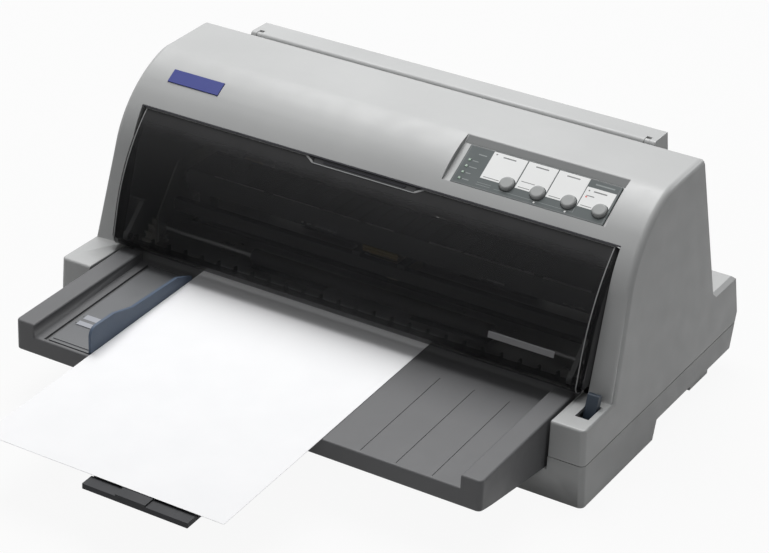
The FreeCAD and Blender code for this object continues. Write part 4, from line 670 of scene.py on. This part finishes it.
def legend_bars(shape):
    """Bare bars where the real panel has words."""
    for (x0, x1, top), hole_x in zip(PATCHES, BUTTON_X):
        middle = (x0 + x1) / 2
        heading = (middle - 5.5, middle + 5.5, top - 3.6, top - 2.5)
        left_foot = (x0 + 2, hole_x - 7.5, 12.6, 13.2)
        right_foot = (hole_x + 7.2, max(hole_x + 7.4, x1 - 1.0), 13.4, 14.0)
        for bar in (heading, left_foot, right_foot):
            flat(shape, *bar, PRINT_LIFT, PRINT_THICK)
    for bar in MORE_BARS:
        flat(shape, *bar, PRINT_LIFT, PRINT_THICK)


# Lines near the plate's lower edge, the bars beside the four lamps and the two headings
FILM_LINES = ((86.0, 98.0, 4.6, 4.95), (86.0, 98.0, 6.6, 6.95), (101.5, 168.0, 4.6, 4.95),
              (168.0, 168.4, 4.6, 9.0))
LAMP_BAR_X, LAMP_FIRST_Y, LAMP_PITCH = 73.6, 6, 6
LAMP_BARS = (5.5, 4.2, 6.4, 5.0)
FILM_HEADINGS = ((75.5, 82.5, 30.4, 31.4), (174.0, 190.0, 33.2, 34.4))


def pale_lines(shape):
    """Fine lines and lamp bars on the dark film."""
    for line in FILM_LINES:
        flat(shape, *line, LINE_LIFT, LINE_THICK)
    for row, width in enumerate(LAMP_BARS):
        y = LAMP_FIRST_Y + LAMP_PITCH * row
        flat(shape, LAMP_BAR_X, LAMP_BAR_X + width, y - 0.4, y + 0.4, LINE_LIFT, LINE_THICK)
    for bar in FILM_HEADINGS:
        flat(shape, *bar, LINE_LIFT, LINE_THICK)


RIM_BARS = ((66.3, 194.0, 1.6, 1.9), (66.3, 194.0, 37.0, 37.3), (66.3, 66.6, 1.9, 37.0),
            (193.7, 194.0, 1.9, 37.0))


def panel_rim(shape):
    """The thin raised line round the film."""
    for bar in RIM_BARS:
        flat(shape, *bar, lift=0.06, thick=0.05)


def led_windows(shape):
    """Two small lamp windows, under the second and the third button."""
    for x in BUTTON_X[1:3]:
        disc(shape, on_plate(x + 1, 3.4, -0.1), PLATE_UP, radius=0.8, height=0.3)


piece("panel_patches", white_patches, "legend")
piece("panel_legends", legend_bars, "print")
piece("panel_lines", pale_lines, "faint")
piece("panel_rim", panel_rim, "print")
piece("panel_mark", lambda s: flat(s, *RED_MARK, PRINT_LIFT, PRINT_THICK), "red")
piece("panel_leds", led_windows, "legend")


# Front cover: pale lines painted as highlights along its rim and ends, the filled finger notch with a
# painted highlight on its lower edge, dark ends and the comb at its foot
RIM_Y, RIM_Z = 82.3, 174.9
RIM_END = 210.0
NOTCH_Y, NOTCH_Z = 78.5, 171.2
NOTCH_LEFT, NOTCH_RIGHT = -51.0, 41.0
RAMP = 7.5
SLIT_INSET = 9
SLIT_Y, SLIT_Z = 80.9, 173.4
LIP_END = 215
LIP_Y, LIP_LINE_Z = 82.0, 176.0
# The x of the outer face's last vertices, of the lines laid there and of the end faces
PROFILE_X, END_LINE_X, COVER_END_X = 210.5, 210.3, 211.9
COMB_FROM, COMB_TO, COMB_TOP = 42.9, 51, 82.2


def rim_highlight(shape):
    """A pale line along the cover's upper rim, down to the notch and up again: a painted highlight on the
    rim's edge.
    """
    y, z = NOTCH_Y + 0.6, NOTCH_Z + 0.5
    left = [at(-RIM_END, RIM_Y, RIM_Z), at(NOTCH_LEFT - RAMP, RIM_Y, RIM_Z), at(NOTCH_LEFT, y, z)]
    right = [at(NOTCH_RIGHT, y, z), at(NOTCH_RIGHT + RAMP, RIM_Y, RIM_Z), at(RIM_END, RIM_Y, RIM_Z)]
    rod(shape, left, thick=0.5, wide=1.6)
    rod(shape, right, thick=0.5, wide=1.6)


def pull_fill(shape):
    """The plate behind the finger notch."""
    low, high = (NOTCH_Y + 1.0, NOTCH_Z + 0.1), (RIM_Y + 0.6, RIM_Z - 0.2)
    ring = [at(NOTCH_LEFT, *low), at(NOTCH_RIGHT, *low), at(NOTCH_RIGHT, *high), at(NOTCH_LEFT, *high)]
    prism(shape, ring, Vector((0, 0.0006, -0.0006)))


def pull_slit(shape):
    spots = [at(NOTCH_LEFT + SLIT_INSET, SLIT_Y, SLIT_Z), at(NOTCH_RIGHT - SLIT_INSET, SLIT_Y, SLIT_Z)]
    rod(shape, spots, thick=0.5, wide=1.6)


# Painted highlight: a pale strip along the finger notch's lower edge
def pull_highlight(shape):
    y, z = NOTCH_Y + 0.3, NOTCH_Z + 0.2
    rod(shape, [at(NOTCH_LEFT, y, z), at(NOTCH_RIGHT, y, z)], thick=0.6, wide=0.7)


def cover_profile():
    """The outer face's outline at the cover's ends, from low to high."""
    node = NODES["front_cover"]
    spots = {}
    for index in range(len(node.data.vertices)):
        spot = local(node, index)
        if abs(spot.x - PROFILE_X) < 0.15:
            spots[round(spot.z, 1)] = (spot.y, spot.z)
    return [spots[z] for z in sorted(spots)]


# Painted highlights: pale lines down the cover's two ends, where their edges catch the light
def end_highlights(shape):
    outline = cover_profile()
    for x in (-END_LINE_X, END_LINE_X):
        rod(shape, [at(x, y, z) for y, z in outline], thick=0.5, wide=0.8)


def lip_joint_and_shadow(shape):
    """The dark joint between the cover's upper rim and the casing, partly painted shadow under the casing's
    lip.
    """
    rod(shape, [at(-LIP_END, LIP_Y, LIP_LINE_Z), at(LIP_END, LIP_Y, LIP_LINE_Z)], thick=0.6, wide=1.3)


piece("lip_joint_and_shadow", lip_joint_and_shadow, "ink")
piece("cover_rim_highlight", rim_highlight, "painted_highlight", "front_cover")
piece("cover_pull", pull_fill, "pull", "front_cover")
piece("cover_pull_slit", pull_slit, "ink", "front_cover")
piece("cover_pull_edge", pull_highlight, "glint", "front_cover")
piece("cover_end_lines", end_highlights, "painted_highlight", "front_cover")


def darken_cover():
    """Opaque faces for the comb's ribs and the cover's two ends."""
    node = NODES["front_cover"]
    node.data.materials.append(MATERIALS["black"])
    for face in node.data.polygons:
        spots = [local(node, i) for i in face.vertices]
        rib = all(COMB_FROM < p.y < COMB_TO and p.z < COMB_TOP for p in spots) and abs(face.normal.x) > 0.9
        end = min(p.x for p in spots) > COVER_END_X or max(p.x for p in spots) < -COVER_END_X
        if rib or end:
            face.material_index = 1


darken_cover()


# Inside, as seen through the cover
CARTRIDGE_EDGE_Y = 105.7
# The left and right ends, the z and the width of the cartridge's bright edges
CARTRIDGE_EDGES = ((-160, 10, 118.2, 0.6), (42, 184, 118.2, 1.3), (-76, -42, 101.6, 1.2),
                   (90, 110, 101.6, 1.2), (161, 180, 101.6, 1.2))
CARTRIDGE_TOP = 118
CARTRIDGE_RIBS, RIB_FIRST, RIB_PITCH = 23, -132, 12
FIN_LEFT, FIN_RIGHT = -18, 14
FIN_HEIGHTS = (93.7, 95.8, 97.9)


def cartridge_lines(shape):
    """Bright edges on the cartridge's front."""
    for low, high, z, wide in CARTRIDGE_EDGES:
        rod(shape, [at(low, CARTRIDGE_EDGE_Y, z), at(high, CARTRIDGE_EDGE_Y, z)], 0.6, wide)


def head_fins(shape):
    """The cooling fins that stand on the print head's front."""
    block(shape, (FIN_LEFT, 106.0, 92.9), (FIN_RIGHT, 106.8, 98.4))
    for z in FIN_HEIGHTS:
        rod(shape, [at(FIN_LEFT, 105.8, z), at(FIN_RIGHT, 105.8, z)], thick=0.6, wide=1.2)


def cartridge_detail(shape):
    """Ribs and the moulded frame on the ribbon cartridge."""
    for n in range(CARTRIDGE_RIBS):
        x = RIB_FIRST + n * RIB_PITCH
        block(shape, (x, 107.5, CARTRIDGE_TOP), (x + 1.2, 144.5, CARTRIDGE_TOP + 0.8))
    block(shape, (-184, 143.8, CARTRIDGE_TOP), (184, 145.4, CARTRIDGE_TOP + 1.2))


def painted_well_shade(shape):
    """Painted shade: a darker strip laid on the panel well's upper wall, where shade falls."""
    ring = [at(59.5, 123.4, 202.5), at(196.7, 123.4, 202.5), at(196.7, 128.2, 207.0), at(59.5, 128.2, 207.0)]
    prism(shape, ring, Vector((0, 0.0004, -0.0004)))


# The edge guide's plate: its height at one y and its slope, and the two pads' front and rear
GUIDE_Y, GUIDE_Z, GUIDE_SLOPE = -95.6, 52.27, 0.04372
PAD_LEFT, PAD_RIGHT = -173.5, -139.6
PADS = ((-65.0, -57.4), (-56.4, -48.6))


def on_guide(x, y):
    return at(x, y, GUIDE_Z + (y - GUIDE_Y) * GUIDE_SLOPE + 0.45)


def thumb_pads(shape):
    """Two pale pads on the edge guide's plate, set on its slope."""
    for front, rear in PADS:
        ring = [on_guide(PAD_LEFT, front), on_guide(PAD_RIGHT, front)]
        ring += [on_guide(PAD_RIGHT, rear), on_guide(PAD_LEFT, rear)]
        prism(shape, ring, Vector((0, 0, -0.0007)))


# Contacts in the back sockets
INLET_PINS = ((-157.0, 50.0), (-143.0, 50.0), (-150.0, 56.8))
PORT_CONTACTS, CONTACT_FIRST, CONTACT_PITCH = 18, -89.0, 1.05


def inlet_pins(shape):
    for x, z in INLET_PINS:
        block(shape, (x - 1, 243, z - 2), (x + 1, 257, z + 2))


def port_contacts(shape):
    for row in (-1, 1):
        z = 52 + row * 1.95
        for n in range(PORT_CONTACTS):
            x = CONTACT_FIRST + n * CONTACT_PITCH
            block(shape, (x - 0.3, 250, z - 0.12), (x + 0.3, 258, z + 0.12))


BOARD_TOP = 27.1
SUPPLY_TOP = 21


def board_parts(shape):
    """Capacitors, connectors and small packages on the main board."""
    for n in range(6):
        disc(shape, at(-140 + n * 16, 228, BOARD_TOP), Vector((0, 0, 1)), 5 - n % 2, 11 + n % 3)
    for n in range(10):
        x = -138 + n * 19
        block(shape, (x, 204, BOARD_TOP), (x + 10, 209, BOARD_TOP + 1.6))
    for x in (20, 44):
        block(shape, (x, 150, BOARD_TOP), (x + 16, 158, BOARD_TOP + 9))
    for n in range(4):
        block(shape, (28, 170 + n * 12, BOARD_TOP), (60, 176 + n * 12, BOARD_TOP + 2.4))


def supply_parts(shape):
    """Capacitors and a finned heat sink on the supply."""
    disc(shape, at(170, 172, SUPPLY_TOP), Vector((0, 0, 1)), radius=11, height=18)
    disc(shape, at(146, 166, SUPPLY_TOP), Vector((0, 0, 1)), radius=7, height=16)
    for n in range(5):
        block(shape, (110 + n * 6, 196, SUPPLY_TOP), (112 + n * 6, 240, SUPPLY_TOP + 19))
    block(shape, (109, 196, SUPPLY_TOP), (137, 240, SUPPLY_TOP + 3))


# Screws under the casing, at each of these x and y, and behind it
SCREW_X = (-190, -60, 60, 190)
SCREW_Y = (136, 246)
SCREW_Z = 15.0
BACK_SCREW_X = (-190, 190)
BACK_SCREW_Y, BACK_SCREW_Z = 266.5 + (79 - 60) * 7.2 / 35.2, 60
SLOT_LOW, SLOT_HIGH = 14.05, 14.35


def case_screws(shape):
    """Countersunk screws under the casing and behind it."""
    for x in SCREW_X:
        for y in SCREW_Y:
            disc(shape, at(x, y, SCREW_Z), Vector((0, 0, -1)), radius=3.4, height=0.7)
    for x in BACK_SCREW_X:
        disc(shape, at(x, BACK_SCREW_Y, BACK_SCREW_Z), Vector((0, 1, 0.2)), radius=3.2, height=0.6)


def cross_slots(shape):
    for x in SCREW_X:
        for y in SCREW_Y:
            block(shape, (x - 2, y - 0.4, SLOT_LOW), (x + 2, y + 0.4, SLOT_HIGH))
            block(shape, (x - 0.4, y - 2, SLOT_LOW), (x + 0.4, y + 2, SLOT_HIGH))


piece("cartridge_lines", cartridge_lines, "rib")
piece("head_fins", head_fins, "fin", "carriage")
piece("painted_well_shade", painted_well_shade, "shadow")
piece("thumb_pads", thumb_pads, "thumb", "edge_guide")
piece("inlet_pins", inlet_pins, "nickel")
piece("port_contacts", port_contacts, "copper")
piece("board_parts", board_parts, "chip")
piece("supply_parts", supply_parts, "zinc")
piece("cartridge_detail", cartridge_detail, "carriage")
piece("case_screws", case_screws, "zinc")
piece("screw_slots", cross_slots, "chip")


# Stage, light and camera
FLOOR_HALF = 12
FLOOR_Z = -0.0004
AIM = (0, 0, 0.1)
SKY_LIGHT = 0.14
CAMERA_PLACE = (0.896502, -1.482627, 1.029657)
CAMERA_RIGHT = Vector((0.85720171, 0.51329463, 0.04163956))
CAMERA_UP = Vector((-0.27173126, 0.38213988, 0.88325038))
CAMERA_BACK = Vector((0.43745555, -0.7684385, 0.46704916))


def floor_plane():
    mesh = bpy.data.meshes.new("floor")
    shape = bmesh.new()
    bmesh.ops.create_grid(shape, x_segments=1, y_segments=1, size=FLOOR_HALF)
    shape.to_mesh(mesh)
    shape.free()
    made = bpy.data.objects.new("floor", mesh)
    made.location = (0, 0, FLOOR_Z)
    bpy.context.scene.collection.objects.link(made)
    mesh.materials.append(white_floor())


def lamp(name, place, size, power):
    """A round soft lamp that looks at the printer; metres and watts."""
    light = bpy.data.lights.new(name, "AREA")
    light.shape = "DISK"
    light.size = size
    light.energy = power
    made = bpy.data.objects.new(name, light)
    made.location = place
    made.rotation_euler = (Vector(AIM) - Vector(place)).to_track_quat("-Z", "Y").to_euler()
    bpy.context.scene.collection.objects.link(made)


def sky():
    """Faint light from all round, and plain white where a ray sees it."""
    world = bpy.data.worlds.new("studio")
    world.use_nodes = True
    tree = world.node_tree
    background = tree.nodes["Background"]
    background.inputs["Color"].default_value = (0.98, 0.985, 1.0, 1)
    strength = span(tree, seen_ray(tree, 1), SKY_LIGHT, 1, 0, 1)
    link(tree, strength, background.inputs["Strength"])
    bpy.context.scene.world = world


def camera():
    eye = bpy.data.cameras.new("camera")
    eye.sensor_width = 36
    eye.lens = 120.25
    eye.clip_start = 0.01
    holder = bpy.data.objects.new("camera", eye)
    bpy.context.scene.collection.objects.link(holder)
    turn = Matrix((CAMERA_RIGHT, CAMERA_UP, CAMERA_BACK)).transposed()
    holder.matrix_world = Matrix.Translation(CAMERA_PLACE) @ turn.to_4x4()
    bpy.context.scene.camera = holder


floor_plane()
lamp("over", place=(-0.45, 0.75, 2.25), size=1.9, power=72)
lamp("fill", place=(0.5, -2.2, 1.3), size=1.2, power=4.8)
sky()
camera()
bpy.context.scene.view_settings.view_transform = "Standard"
